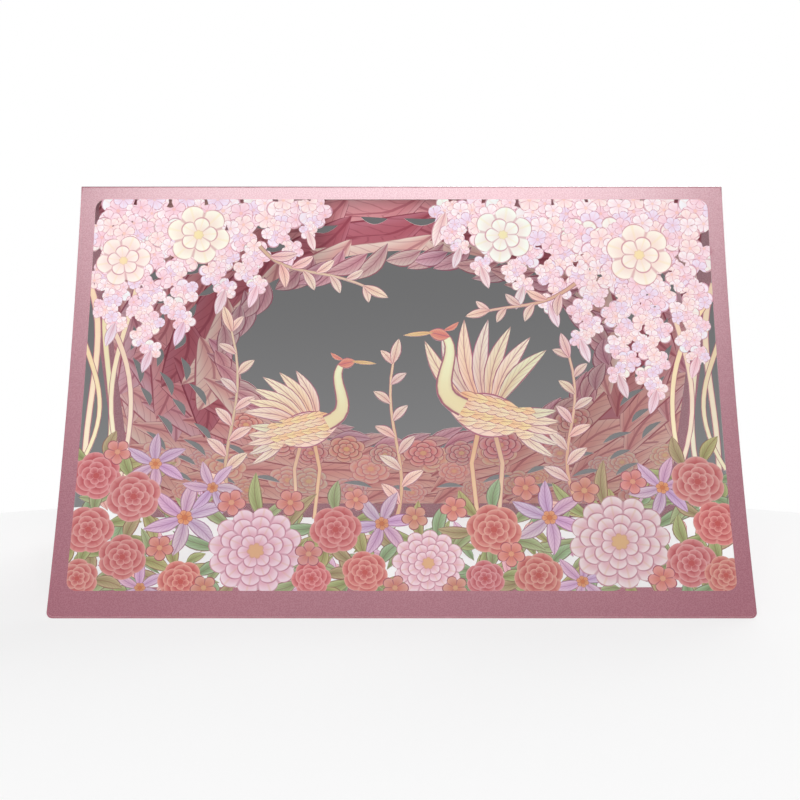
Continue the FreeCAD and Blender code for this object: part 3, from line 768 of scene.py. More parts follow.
# Garden tint factors: darker and rosier, partly the garden's own print and partly painted shade for the
# weaker light on the lower front leaf
DEEP_PRINT_AND_PAINTED_SHADE = (0.80, 0.54, 0.58)
LEAF_PRINT_AND_PAINTED_SHADE = (0.70, 0.70, 0.62)
PALE_PRINT_AND_PAINTED_SHADE = (0.88, 0.80, 0.84)
# Steps that spread many places evenly across and upwards
EVEN_STEP_ACROSS = 0.618034
EVEN_STEP_UPWARDS = 0.754878


def shaded(motifs: list[Motif]) -> list[Motif]:
    """Print motifs in the deeper, rosier colours of the garden; the darkening is partly print and partly
    painted shade for the weaker light low on the front leaf.

    Args:
        motifs: The motifs, which are changed.

    Returns:
        The same motifs.
    """
    # Each factor darkens the motif's tint: partly print colour, partly painted shade.
    for motif in motifs:
        shade = DEEP_PRINT_AND_PAINTED_SHADE
        if motif.style is Print.LEAF:
            shade = LEAF_PRINT_AND_PAINTED_SHADE
        if motif.style in (Print.DAHLIA, Print.STAR_PETAL, Print.UNDER_PETAL):
            shade = PALE_PRINT_AND_PAINTED_SHADE
        motif.tint = tuple(one * part for one, part in zip(motif.tint, shade))
    return motifs


@dataclass
class FrontDrawing:
    """The motifs of the front panel, in drawing millimetres from the foot of its window."""

    spray_top: float = 129.0
    body_lean: float = 0.26
    side_stems: tuple = (((100.5, 104), (92, 84), (101, 60), (97, 30), 2.4),
                         ((93, 108), (100, 86), (86, 66), (92, 34), 2.2),
                         ((85, 104), (88, 84), (98, 66), (84, 36), 2.0),
                         ((97, 96), (84, 78), (82, 60), (88, 30), 2.0),
                         ((101, 84), (96, 70), (90, 60), (100, 40), 1.8))
    sprays: tuple = ((-95, 40, 2, 7.4), (-84, 50, 3, 7.0), (-73, 42, 2, 7.2), (-62, 30, 4, 7.4),
                     (-51, 26, 3, 7.2), (-40.5, 15, 4, 6.8), (-31, 7, 2, 6.0), (12, 6, -2, 5.6),
                     (20.5, 13, -3, 6.4), (30, 20, -3, 6.8), (40.5, 27, -3, 7.2), (51, 34, -2, 7.2),
                     (61.5, 45, -3, 7.4), (72, 58, -2, 7.4), (82.5, 66, -4, 7.2), (93.5, 50, -1, 7.4))
    twigs: tuple = (((-52, 28), (-60, 50), (-44, 62), (-57, 96), 10, 10.0),
                    ((-46, 117), (-36, 104), (-26, 112), (-6, 100), 8, 9.5),
                    ((-2, 22), (5, 44), (-9, 56), (-1, 84), 9, 9.5),
                    ((53, 30), (46, 52), (61, 58), (51, 86), 9, 9.5),
                    ((56, 104), (44, 94), (38, 98), (22, 93), 6, 8.5))
    magnolias: tuple = ((-66, 121, 10.5, 0.3), (33, 121, 10.0, 0.9), (77, 114, 11.0, 0.2),
                        (-90, 112, 9.0, 0.7))
    dahlias: tuple = ((-44, 13, 14.5, 0.1), (66, 16, 15.5, 0.4), (8, 9, 11.0, 0.2))
    camellias: tuple = ((-94, 38, 8.0, 0.2), (-82, 31, 8.5, 0.9), (-95, 20, 8.0, 0.5), (-84, 11, 7.5, 0.1),
                        (-97, 4, 6.5, 0.0), (-66, 3, 7.0, 0.4), (-20, 20, 8.0, 0.7), (-11, 6, 7.0, 0.2),
                        (28, 20, 8.5, 0.3), (41, 5, 7.5, 0.8), (91, 36, 8.5, 0.0), (96, 22, 7.5, 0.4),
                        (87, 9, 8.0, 0.9), (97, 5, 6.5, 0.3), (25, 4, 6.0, 0.1), (-27, 4, 6.0, 0.6))
    stars: tuple = ((-66, 24, 13.0, 0.3), (-6, 22, 11.5, 0.1), (45, 24, 12.5, 0.6), (80, 34, 11.0, 0.2),
                    (-76, 42, 10.5, 0.5), (-58, 34, 9.5, 0.9), (54, 3, 10.0, 0.2), (-78, 1, 9.0, 0.5))
    small_flowers: tuple = ((-34, 29, 4.6, 0.2), (-52, 29, 4.6, 0.5), (16, 27, 4.4, 0.1), (38, 34, 4.6, 0.4),
                            (56, 33, 4.8, 0.8), (-88, 46, 4.4, 0.3), (71, 36, 4.4, 0.5), (-14, 30, 4.0, 0.7),
                            (4, 24, 4.2, 0.2), (-73, 14, 4.4, 0.4), (-59, 1, 4.2, 0.2), (78, 4, 4.6, 0.1),
                            (-2, 1, 4.2, 0.6), (33, 12, 4.4, 0.3), (-28, 12, 4.4, 0.9), (16, 1, 4.0, 0.1))
    small_leaves: int = 230

    def motifs(self) -> list[Motif]:
        """Draw every motif, the lowest first.

        Returns:
            The motifs.
        """
        # The undergrowth and the garden take darker tints: partly print, partly painted shade for the weaker
        # light low on the leaf.
        shapes = shaded(self.undergrowth()) + self.stems()
        for x, length, lean, radius in self.sprays:
            shapes += self.strand(x, length, lean, radius)
        shapes += flowers(self.magnolias, 6, 0.26, Print.MAGNOLIA)
        for twig in self.twigs:
            shapes += self.twig(*twig)
        shapes += self.crane(25, 31, 1.12, -1.0, (56, 130), 7, 28.0)
        shapes += self.crane(-28, 31, 0.92, 1.0, (112, 168), 6, 24.0)
        # Garden tints darkened partly as painted shade.
        return shapes + shaded(self.garden())

    def garden(self) -> list[Motif]:
        """Draw the flowers of the garden with their leaves, the lowest first.

        Returns:
            The motifs.
        """
        shapes = []
        for flower in self.dahlias + self.camellias:
            shapes += self.leaf_ring(*flower)
        for flower in self.stars:
            shapes += self.star(*flower)
        shapes += flowers(self.dahlias, 12, 0.14, Print.DAHLIA, 5)
        shapes += flowers(self.camellias, 6, 0.12, Print.CAMELLIA)
        return shapes + flowers(self.small_flowers, 5, 0.36, Print.SMALL_FLOWER)

    def undergrowth(self) -> list[Motif]:
        """Draw the small leaves and petals that fill the garden between its flowers.

        Returns:
            The leaves, each short enough to show only between its neighbours.
        """
        shapes = []
        for i in range(self.small_leaves):
            x = -99.0 + 198.0 * math.fmod(EVEN_STEP_ACROSS * i, 1.0)
            top = 19.0 + 20.0 * (abs(x) / 95.0) ** 1.2
            up = -3.0 + top * math.fmod(EVEN_STEP_UPWARDS * i + 0.3, 1.0)
            turn = 0.5 * math.pi + 1.25 * math.sin(2.7 * i) + 0.008 * x
            style = Print.UNDER_PETAL if i % 5 == 2 else Print.LEAF
            leaf = lens(x, up, 9.0 + 2.5 * math.sin(1.9 * i), 2.9 + 0.5 * math.sin(3.1 * i), turn,
                        0.10 * math.sin(i), style, 5)
            tints = UNDER_TINTS if style is Print.UNDER_PETAL else LEAF_TINTS
            leaf.tint = tints[i % len(tints)]
            shapes.append(leaf)
        return shapes

    def stems(self) -> list[Motif]:
        """Draw the stems that climb both sides of the window."""
        shapes = []
        for side in (-1, 1):
            for *corners, width in self.side_stems:
                line = [(side * x, up) for x, up in curve(*corners, 14)]
                shapes.append(band(line, width, 0.8 * width, Print.SIDE_STEM))
        return shapes

    def strand(self, x: float, length: float, lean: float, radius: float) -> list[Motif]:
        """Draw a hanging strand of blossoms that grow smaller towards the bud at its tip.

        Args:
            x: Where the strand hangs.
            length: How far down it reaches.
            lean: Sideways drift of its tip.
            radius: Radius of its first blossom.

        Returns:
            The blossoms and the bud.
        """
        shapes = []
        down = 0.0
        side = 1
        blossom = radius
        spot = (x, self.spray_top)
        while down < length:
            share = down / length
            blossom = radius * (1.0 - 0.5 * share)
            spot = (x + lean * share + side * 0.42 * blossom, self.spray_top - down)
            shapes.append(rosette(*spot, blossom, 5, 0.34, 0.1 * x + 1.3 * len(shapes), Print.BLOSSOM))
            shapes += self.cluster(spot, blossom, 0.7 * x + down)
            down += 1.12 * blossom
            side = -side
        bud = lens(*spot, 2.3 * blossom, 0.9 * blossom, -0.5 * math.pi + 0.3 * side, 0.0, Print.BUD)
        return shapes + [bud]

    def cluster(self, spot: Point, radius: float, seed: float) -> list[Motif]:
        """Draw small blossoms that are printed on a cut blossom.

        Args:
            spot: Middle of the cut blossom.
            radius: Its radius.
            seed: Any number that belongs to it.

        Returns:
            The printed blossoms.
        """
        shapes = []
        count = 5
        for i in range(count):
            angle = seed + TURN * i / count
            reach = 0.62 * radius if i else 0.1 * radius
            small = rosette(spot[0] + reach * math.cos(angle), spot[1] + reach * math.sin(angle),
                            radius * (0.52 + 0.08 * math.sin(3.0 * seed + i)), 5, 0.30, seed + i,
                            Print.BLOSSOM, 4)
            small.tint = BLOSSOM_TINTS[int(abs(3.0 * seed) + 2 * i) % len(BLOSSOM_TINTS)]
            small.print_only = True
            shapes.append(small)
        return shapes

    def twig(self, start: Point, lean_a: Point, lean_b: Point, end: Point, leaves: int,
             leaf_length: float) -> list[Motif]:
        """Draw a thin stem with leaves on both sides and one at its tip.

        Args:
            start: Root of the stem.
            lean_a: Point that the root leans to.
            lean_b: Point that the tip leans to.
            end: Tip of the stem.
            leaves: Leaves along it.
            leaf_length: Length of the lowest leaf.

        Returns:
            The stem and its leaves.
        """
        shapes = [band(curve(start, lean_a, lean_b, end, 12), 1.5, 0.8, Print.TWIG)]
        nodes = curve(start, lean_a, lean_b, end, leaves + 1)
        for i in range(1, leaves + 1):
            (x0, up0), (x, up), (x1, up1) = nodes[i - 1:i + 2]
            along = math.atan2(up1 - up0, x1 - x0)
            length = leaf_length * (1.0 - 0.35 * i / leaves)
            side = 1 if i % 2 else -1
            shapes.append(lens(x, up, length, 0.44 * length, along + side * 0.85, side * -0.06,
                               Print.TWIG_LEAF))
        (x0, up0), (x, up) = nodes[-2:]
        along = math.atan2(up - up0, x - x0)
        tip = lens(x0, up0, 0.95 * leaf_length, 0.36 * leaf_length, along, 0.0, Print.TWIG_LEAF)
        return shapes + [tip]

    def star(self, x: float, up: float, radius: float, turn: float) -> list[Motif]:
        """Draw an open flower of six slender petals and its heart.

        Args:
            x: Middle across.
            up: Middle upwards.
            radius: Length of a petal.
            turn: Direction of the first petal.

        Returns:
            The petals and the heart.
        """
        petals = [lens(x, up, radius, 0.36 * radius, turn + TURN * i / 6, 0.05, Print.STAR_PETAL)
                  for i in range(6)]
        return petals + [rosette(x, up, 0.2 * radius, 6, 0.2, turn, Print.STAR_HEART, 3)]

    def leaf_ring(self, x: float, up: float, radius: float, turn: float) -> list[Motif]:
        """Draw the leaves that show round a large flower.

        Args:
            x: The flower's middle across.
            up: The flower's middle upwards.
            radius: The flower's radius.
            turn: Direction of the first leaf.

        Returns:
            The leaves.
        """
        count = round(2.0 + 0.45 * radius)
        shapes = []
        for i in range(count):
            angle = turn + TURN * (i + 0.25 * math.sin(5.0 * i + x)) / count
            root = (x + 0.7 * radius * math.cos(angle), up + 0.7 * radius * math.sin(angle))
            leaf = lens(*root, 4.0 + 0.85 * radius, 4.3, angle + 0.35 * math.sin(x + i), 0.08, Print.LEAF)
            leaf.tint = LEAF_TINTS[int(abs(x) + 3 * i) % len(LEAF_TINTS)]
            shapes.append(leaf)
        return shapes

    def body_feathers(self) -> list[Motif]:
        """Draw the small overlapping feathers that are printed on a crane's body.

        Returns:
            The feathers, those near the tail first.
        """
        lean = self.body_lean
        shapes = []
        for column in range(7):
            for row in range(4):
                along = 4.0 + 2.7 * column + 1.3 * (row % 2)
                across = -4.2 + 2.8 * row
                x = -14.0 + along * math.cos(lean) - across * math.sin(lean)
                up = 22.0 + along * math.sin(lean) + across * math.cos(lean)
                feather = lens(x, up, 5.6, 3.2, lean + math.pi - 0.2 + 0.1 * row, 0.06, Print.FEATHER, 5)
                feather.tint = FEATHER_TINTS[(2 * column + 3 * row) % len(FEATHER_TINTS)]
                feather.print_only = True
                shapes.append(feather)
        return shapes

    def crane(self, x: float, up: float, scale: float, flip: float, wing: Point, feathers: int,
              feather_length: float) -> list[Motif]:
        """Draw a standing crane with a raised wing, seen from the side.

        Args:
            x: Where it stands.
            up: Height of its feet above the window's foot, less its legs' ends.
            scale: Size factor.
            flip: 1 to face right, -1 to face left.
            wing: First and last direction of the wing's feathers, degrees.
            feathers: Feathers in the wing.
            feather_length: Length of the longest feather.

        Returns:
            The motifs of the bird.
        """
        legs = ([(-3.0, 22.0), (-5.5, 10.0), (-4.0, -8.0)], [(0.5, 22.0), (3.0, 10.0), (1.5, -8.0)])
        shapes = [band(leg, 1.7, 1.4, Print.TWIG) for leg in legs]
        for i in range(5):
            angle = math.radians(226 - 11 * i)
            shapes.append(lens(-8.0, 24.0 + 0.6 * i, 17.0 - i, 3.6, angle, 0.08, Print.FEATHER))
        for i in range(feathers):
            share = i / (feathers - 1)
            length = feather_length * (1.0 - 0.3 * abs(share - 0.4))
            angle = math.radians(wing[0] + (wing[1] - wing[0]) * share)
            shapes.append(lens(2.0 - 6.0 * share, 27.0, length, 4.8, angle, -0.07, Print.FEATHER))
        neck = curve((5.0, 27.0), (17.0, 32.0), (4.0, 43.0), (10.5, 49.5), 12)
        shapes.append(lens(-14.0, 22.0, 25.0, 13.5, self.body_lean, -0.03, Print.BIRD_BODY, 10))
        shapes += self.body_feathers()
        shapes.append(band(neck, 6.0, 2.4, Print.SIDE_STEM))
        shapes.append(lens(8.6, 48.6, 6.2, 4.0, 0.25, 0.0, Print.BIRD_HEAD))
        shapes.append(lens(13.0, 50.0, 8.9, 1.5, -0.1, 0.0, Print.BEAK, 4))
        shapes.append(lens(10.4, 50.6, 5.2, 1.7, 2.6, 0.1, Print.BIRD_HEAD, 4))
        return [shape.placed(x, up, flip, scale) for shape in shapes]


@dataclass
class BackDrawing:
    """The oval of the back panel with its wreath, and the slits in the ground round it."""

    oval: tuple = (4.0, 72.0, 69.0, 43.0)
    flowers: tuple = ((-44, 33, 8.0, 0.1), (-33, 27, 6.5, 0.5), (-20, 29, 7.0, 0.8), (-6, 26, 6.0, 0.2),
                      (8, 27, 7.5, 0.6), (22, 27, 6.5, 0.1), (36, 31, 8.0, 0.4), (50, 35, 6.5, 0.9),
                      (-56, 41, 6.5, 0.7), (62, 43, 7.0, 0.3))
    wreath_leaves: int = 30
    petal_rings: int = 8
    slit_rings: int = 6
    ring_step: float = 8.5
    low_flowers: int = 26

    def point(self, angle: float, outside: float = 0.0) -> Point:
        """Return a point on the oval, or outside it."""
        x, up, wide, tall = self.oval
        return x + (wide + outside) * math.cos(angle), up + (tall + outside) * math.sin(angle)

    def direction(self, angle: float) -> float:
        """Return the direction of the oval's edge at an angle."""
        return math.atan2(self.oval[3] * math.cos(angle), -self.oval[2] * math.sin(angle))

    def opening(self) -> Outline:
        """Return the outline of the oval."""
        steps = 96
        return [self.point(TURN * i / steps) for i in range(steps)]

    def motifs(self) -> list[Motif]:
        """Draw the leaf tips and flowers that edge the oval.

        Returns:
            The motifs.
        """
        shapes = []
        for ring, (outside, length, lean) in enumerate([(3.0, 17.0, 0.75), (0.0, 14.0, 0.35)]):
            for i in range(self.wreath_leaves):
                angle = TURN * (i + 0.5 * ring + 0.2 * math.sin(2.4 * i)) / self.wreath_leaves
                shapes.append(lens(*self.point(angle, outside), length + 2.5 * math.sin(1.7 * i), 6.2,
                                   self.direction(angle) + lean, 0.1, Print.WREATH_LEAF))
        return shapes + flowers(self.flowers, 6, 0.2, Print.WREATH_FLOWER)

    def ground(self) -> Motif:
        """Return the plain printed ground of the picture."""
        return Motif([], Print.GROUND, Form.SHEET, lambda x, up: (x, up))

    def painted_light_low_on_leaf(self, tint: Colour, angle: float, ring: int) -> Colour:
        """Turn a petal's tint to light peach low on the leaf: painted light, for the window light and warm
        bounce that fall on the lower back leaf.

        Args:
            tint: The petal's own tint.
            angle: Where the petal stands on its ring.
            ring: Number of its ring.

        Returns:
            The tint to print it in.
        """
        up = self.point(angle, self.ring_step * ring)[1]
        # The lower the petal, the more peach it takes: painted light.
        share = min(max((58.0 - up) / 30.0, 0.0), 0.8)
        return tuple(one + (peach - one) * share for one, peach in zip(tint, PAINTED_LIGHT_PEACH))

    def ground_petals(self) -> list[Motif]:
        """Draw the long petals printed in rings round the oval, those low on the leaf lightened with painted
        light, and the flowers low on the leaf.

        Returns:
            The motifs, the outer rings first.
        """
        shapes = []
        for ring in reversed(range(self.petal_rings)):
            count = 17 + 2 * ring
            for i in range(count):
                angle = TURN * (i + 0.5 * ring) / count
                turn = self.direction(angle) + 0.30 + 0.12 * math.sin(1.3 * i)
                petal = lens(*self.point(angle, 6.0 + self.ring_step * ring), 38.0 + 5.0 * math.sin(2.1 * i),
                             14.0, turn, 0.16, Print.RING_PETAL, 10)
                # Petals low on the leaf are lightened to peach: painted light.
                petal.tint = self.painted_light_low_on_leaf(RING_TINTS[(i * 5 + ring * 3) % len(RING_TINTS)], angle, ring)
                shapes.append(petal)
        for i in range(self.low_flowers):
            x = -96.0 + 7.7 * i
            up = 17.0 + 11.0 * math.sin(2.3 * i)
            shapes.append(rosette(x, up, 6.6 + 1.8 * math.sin(1.9 * i), 7, 0.18, 0.8 * i, Print.LOW_FLOWER))
        return shapes

    def slits(self) -> list[Outline]:
        """Draw the slits that run in rings round the oval, clear of the flowers and the border.

        Returns:
            Their outlines.
        """
        shapes = []
        steps = 6
        for ring in range(self.slit_rings):
            count = 30 + 2 * ring
            for i in range(count):
                angle = TURN * (i + 0.5 * ring) / count
                root = self.point(angle, 12.0 + self.ring_step * ring)
                length = 10.5 + 1.5 * math.sin(2.1 * i)
                turn = self.direction(angle) + 0.16 * math.sin(1.3 * i)
                slit = lens(*root, length, 2.6, turn, 0.12, Print.PEARL, steps).outline
                middle = (0.5 * (slit[0][0] + slit[steps][0]), 0.5 * (slit[0][1] + slit[steps][1]))
                in_window = all(abs(px) < 96 and 4 < py < 129 for px, py in slit)
                clear = all(math.dist(middle, flower[:2]) > flower[2] + 6.5 for flower in self.flowers)
                if in_window and clear:
                    shapes.append(slit)
        return shapes


# Paper sheets


@dataclass
class Layer:
    """One outline that is laid on a sheet: a cut, a motif that stands, or a print on what stands."""

    outline: Outline
    motif: Motif | None = None

    @property
    def cuts(self) -> bool:
        """Whether the layer takes paper away."""
        return self.motif is None

    @property
    def print_only(self) -> bool:
        """Whether the layer only prints on what stands below it."""
        return self.motif is not None and self.motif.print_only


@dataclass
class CutSheet:
    """A sheet of paper with cuts and printed motifs, bent along rows across it."""

    name: str
    blank: Outline
    layers: list[Layer]
    rows: list[float]
    place: Callable[[float, float, float], Vector]
    thickness: float
    local: Callable[[Point], Point] = lambda point: point

    def build(self) -> bpy.types.Object:
        """Divide the sheet, bend it and give it its thickness.

        Returns:
            The sheet as a closed mesh, with its prints as material slots.
        """
        points, faces, owners = self.divided()
        mesh = bmesh.new()
        uv = mesh.loops.layers.uv.new("motif")
        tint = mesh.loops.layers.float_color.new("tint")
        used = sorted({index for face in faces for index in face})
        near = {i: mesh.verts.new(self.place(*points[i], 0.0)) for i in used}
        far = {i: mesh.verts.new(self.place(*points[i], self.thickness)) for i in used}
        styles = [Print.PEARL, Print.CUT_EDGE]
        edges: dict[tuple[int, int], int] = {}
        for face, owner in zip(faces, owners):
            motif = self.layers[owner].motif if owner >= 0 else None
            style = motif.style if motif else Print.PEARL
            if style not in styles:
                styles.append(style)
            top = mesh.faces.new([near[i] for i in face])
            top.material_index = styles.index(style)
            for loop, i in zip(top.loops, face):
                place = motif.local(*self.local(points[i])) if motif else points[i]
                loop[uv].uv = place
                loop[tint] = full(motif.tint if motif else WHITE)
            back = mesh.faces.new([far[i] for i in reversed(face)])
            for loop in back.loops:
                loop[tint] = full(WHITE)
            for a, b in zip(face, face[1:] + face[:1]):
                edges[(a, b)] = edges.get((a, b), 0) + 1
        for a, b in edges:
            if (b, a) not in edges:
                wall = mesh.faces.new([near[b], near[a], far[a], far[b]])
                wall.material_index = 1
                for loop in wall.loops:
                    loop[tint] = full(WHITE)
        for face in mesh.faces:
            face.smooth = face.material_index != 1
        for edge in mesh.edges:
            edge.smooth = all(face.material_index != 1 for face in edge.link_faces)
        data = bpy.data.meshes.new(self.name)
        mesh.to_mesh(data)
        mesh.free()
        for style in styles:
            finish = next(item for item in FINISHES if item.style is style)
            data.materials.append(finish.material())
        piece = bpy.data.objects.new(self.name, data)
        bpy.context.scene.collection.objects.link(piece)
        return piece

    def divided(self) -> tuple[list[Point], list[list[int]], list[int]]:
        """Divide the blank at its rows, cuts and motifs.

        Returns:
            The points, the triangles that stay, counter-clockwise, and each one's topmost layer,
            which is -1 for bare paper.
        """
        outlines = [self.blank] + [layer.outline for layer in self.layers]
        points: list[Vector] = []
        faces = []
        for outline in outlines:
            faces.append(list(range(len(points), len(points) + len(outline))))
            points += [Vector(point) for point in counter_clockwise(outline)]
        left = min(x for x, _ in self.blank)
        right = max(x for x, _ in self.blank)
        edges = []
        for row in self.rows:
            edges.append((len(points), len(points) + 1))
            points += [Vector((left, row)), Vector((right, row))]
        found = delaunay_2d_cdt(points, edges, faces, 1, 1.0e-7, True)
        places, triangles, origins = found[0], found[2], found[5]
        kept = []
        owners = []
        for triangle, origin in zip(triangles, origins):
            if 0 not in origin:
                continue
            layers = [self.layers[i - 1] for i in sorted(origin) if i > 0]
            solid = [layer for layer in layers if not layer.print_only]
            if solid and solid[-1].cuts:
                continue
            owner = self.printed_layer(layers)
            a, b, c = (places[i] for i in triangle)
            turn = (b - a).cross(c - a)
            if abs(turn) < 1.0e-13:
                continue
            kept.append(list(triangle) if turn > 0 else list(reversed(triangle)))
            owners.append(owner)
        joined = self.largest_part(kept)
        return ([tuple(point) for point in places], [kept[i] for i in joined], [owners[i] for i in joined])

    def largest_part(self, triangles: list[list[int]]) -> list[int]:
        """Find the triangles that hang together by their edges, so that no chip stays loose.

        Args:
            triangles: Point numbers of each triangle.

        Returns:
            Numbers of the triangles of the largest part.
        """
        by_edge: dict[tuple[int, int], list[int]] = {}
        for number, face in enumerate(triangles):
            for a, b in zip(face, face[1:] + face[:1]):
                by_edge.setdefault((min(a, b), max(a, b)), []).append(number)
        best: list[int] = []
        seen: set[int] = set()
        for first in range(len(triangles)):
            if first in seen:
                continue
            seen.add(first)
            part = [first]
            for number in part:
                face = triangles[number]
                for a, b in zip(face, face[1:] + face[:1]):
                    for other in by_edge[(min(a, b), max(a, b))]:
                        if other not in seen:
                            seen.add(other)
                            part.append(other)
            if len(part) > len(best):
                best = part
        log.info("%s: %d loose chips dropped", self.name, len(triangles) - len(best))
        return sorted(best)

    def printed_layer(self, layers: list[Layer]) -> int:
        """Return the number of the topmost printed layer, or -1 on the bare border."""
        if not any(layer is self.layers[0] for layer in layers):
            return -1
        top = layers[-1]
        return next(i for i, layer in enumerate(self.layers) if layer is top) if top.motif else -1


@dataclass
class Card:
    """The whole card: one folded cover and two cut, printed panels glued to it."""

    sizes: CardSizes
    row_step: float = 4.0 * MM

    def rows(self, foot: float, top: float) -> list[float]:
        """Return evenly spaced rows between two heights on a leaf."""
        count = math.ceil((top - foot) / self.row_step)
        return [foot + (top - foot) * i / count for i in range(1, count)]

    def blank(self, inset: float, fold_gap: float) -> Outline:
        """Return the outline of a panel before it is cut."""
        half = 0.5 * self.sizes.width - inset
        return rounded_outline(-half, half, inset, self.sizes.chord - fold_gap, self.sizes.foot_corner, 0.0)

    def drawn(self, motifs: list[Motif]) -> list[Layer]:
        """Scale motifs to the window and make layers of them."""
        scaled = self.sizes.in_window
        return [Layer([scaled(point) for point in motif.outline], motif) for motif in motifs]

    def cuts(self, outlines: list[Outline]) -> list[Layer]:
        """Scale cuts to the window and make layers of them."""
        return [Layer([self.sizes.in_window(point) for point in outline]) for outline in outlines]

    def window(self) -> Outline:
        """Return the outline of a panel's picture."""
        sizes = self.sizes
        half = 0.5 * sizes.width - sizes.panel_side
        return rounded_outline(-half, half, sizes.panel_foot, sizes.chord - sizes.panel_top,
                               sizes.panel_corner, sizes.panel_corner)

    def panel(self, name: str, layers: list[Layer], inset: float, fold_gap: float,
              place: Callable[[float, float, float], Vector]) -> bpy.types.Object:
        """Cut and print one panel.

        Args:
            name: Name of the piece.
            layers: Its cuts and motifs, the lowest first.
            inset: Gap to the cover's sides and foot.
            fold_gap: Gap to the fold.
            place: Puts a point of the flat panel on its leaf.

        Returns:
            The panel.
        """
        sizes = self.sizes
        rows = self.rows(inset, sizes.chord - fold_gap)
        return CutSheet(name, self.blank(inset, fold_gap), layers, rows, place, sizes.panel_thickness,
                        sizes.to_drawing).build()

    def front_panel(self) -> bpy.types.Object:
        """Build the cut and printed panel on the outer face of the front leaf."""
        sizes = self.sizes

        def place(x: float, up: float, depth: float) -> Vector:
            return sizes.on_leaf(x, up, depth - sizes.panel_thickness, -1.0)

        layers = [Layer(self.window())] + self.drawn(FrontDrawing().motifs())
        return self.panel("front_lace", layers, 0.4 * MM, 1.25 * MM, place)

    def back_panel(self) -> bpy.types.Object:
        """Build the cut and printed panel on the inner face of the back leaf."""
        sizes = self.sizes
        drawing = BackDrawing()
        layers = [Layer(self.window(), drawing.ground())] + self.drawn(drawing.ground_petals())
        layers += self.cuts([drawing.opening()]) + self.drawn(drawing.motifs()) + self.cuts(drawing.slits())

        def place(x: float, up: float, depth: float) -> Vector:
            inner = sizes.cover_thickness + sizes.panel_thickness - depth
            return sizes.on_leaf(x, up, inner, 1.0)

        return self.panel("back_lace", layers, 1.2 * MM, 3.0 * MM, place)

    def cover(self) -> bpy.types.Object:
        """Build the folded cover: both leaves, their windows and the round of the fold."""
        sizes = self.sizes
        outer = sizes.fold_inside + sizes.cover_thickness
        touch_angle = sizes.fold_lean
        touch = sizes.chord - outer / math.tan(touch_angle) * math.cos(sizes.half_bend)
        bend = outer * (math.pi - 2.0 * touch_angle)
        total = 2.0 * touch + bend
        centre_z = sizes.radius * math.sin(sizes.foot_lean) - math.sqrt(
            (sizes.radius + outer) ** 2 - (sizes.radius * math.cos(sizes.fold_lean)) ** 2)

        def place(x: float, along: float, depth: float) -> Vector:
            if along <= touch:
                return sizes.on_leaf(x, along, depth, -1.0)
            if along >= touch + bend:
                return sizes.on_leaf(x, total - along, depth, 1.0)
            share = (along - touch) / bend
            angle = math.pi - touch_angle - share * (math.pi - 2.0 * touch_angle)
            radius = outer - depth
            return Vector((x, radius * math.cos(angle), centre_z + radius * math.sin(angle)))

        half = 0.5 * sizes.width
        side = half - sizes.cover_side
        front = rounded_outline(-side, side, sizes.cover_foot, sizes.chord - sizes.cover_top,
                                sizes.cover_corner, sizes.cover_corner)
        back = [(x, total - along) for x, along in reversed(front)]
        blank = rounded_outline(-half, half, 0.0, total, sizes.foot_corner, sizes.foot_corner)
        fold_steps = 8
        fold_rows = [touch + bend * i / fold_steps for i in range(fold_steps + 1)]
        leaf_rows = self.rows(0.0, touch)
        rows = leaf_rows + fold_rows + [total - row for row in leaf_rows]
        return CutSheet("folded_cover", blank, [Layer(front), Layer(back)], rows, place,
                        sizes.cover_thickness).build()

    def build(self) -> None:
        """Build the three sheets in order and report each."""
        for make, node in ((self.cover, "cover"), (self.front_panel, "front_panel"),
                           (self.back_panel, "back_panel")):
            piece = make()
            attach(piece, "root")
            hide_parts(node)
            log.info("%s: %d faces", piece.name, len(piece.data.polygons))


@dataclass(frozen=True)
class BackdropFinish:
    """Pale backdrop with a soft grey middle, as the wall that shows through the oval."""

    upper: Colour = (0.160, 0.160, 0.162)
    lower: Colour = (0.235, 0.235, 0.238)
    size: float = 3.0
    middle: tuple = (0.001, 1.6, -0.17)
    reach: tuple = (0.415, 0.280)
    foot_flare: float = 0.10
    corner_power: float = 14.0
    shading: tuple = (-0.5, 0.7)
    soft_edge: tuple = (0.955, 1.0)

    def material(self) -> bpy.types.Material:
        """Return the backdrop's material.

        Returns:
            The material: its colour shows as it is written, and lights nothing.
        """
        made = bpy.data.materials.new("backdrop")
        made.use_nodes = True
        tree = made.node_tree
        tools = NodeTools(tree)
        split = tools.node("ShaderNodeSeparateXYZ")
        tools.link(tools.node("ShaderNodeTexCoord").outputs["Object"], split.inputs[0])
        height = tools.math("SUBTRACT", split.outputs[2], self.middle[2])
        reach = tools.math("SUBTRACT", self.reach[0], tools.math("MULTIPLY", height, self.foot_flare))
        across = tools.math("DIVIDE", tools.math("SUBTRACT", split.outputs[0], self.middle[0]), reach)
        rise = tools.math("DIVIDE", height, self.reach[1])
        powers = [tools.math("POWER", tools.math("ABSOLUTE", side), self.corner_power)
                  for side in (across, rise)]
        far = tools.math("POWER", tools.math("ADD", *powers), 1.0 / self.corner_power)
        grey = tools.mix(tools.between(rise, *self.shading), full(self.lower), full(self.upper))
        colour = tools.mix(tools.between(far, *self.soft_edge), grey, full(WHITE))
        glow = tools.node("ShaderNodeEmission")
        tools.link(colour, glow.inputs["Color"])
        show(tools, seen_mask(tools), tree.nodes["Principled BSDF"], glow)
        return made


def seen_mask(tools: NodeTools) -> bpy.types.NodeSocket:
    """Return 1 where a backdrop is seen directly, in a reflection or through glass."""
    path = tools.node("ShaderNodeLightPath")
    seen = tools.math("MAXIMUM", path.outputs["Is Camera Ray"], path.outputs["Is Glossy Ray"])
    return tools.math("MAXIMUM", seen, path.outputs["Is Transmission Ray"])


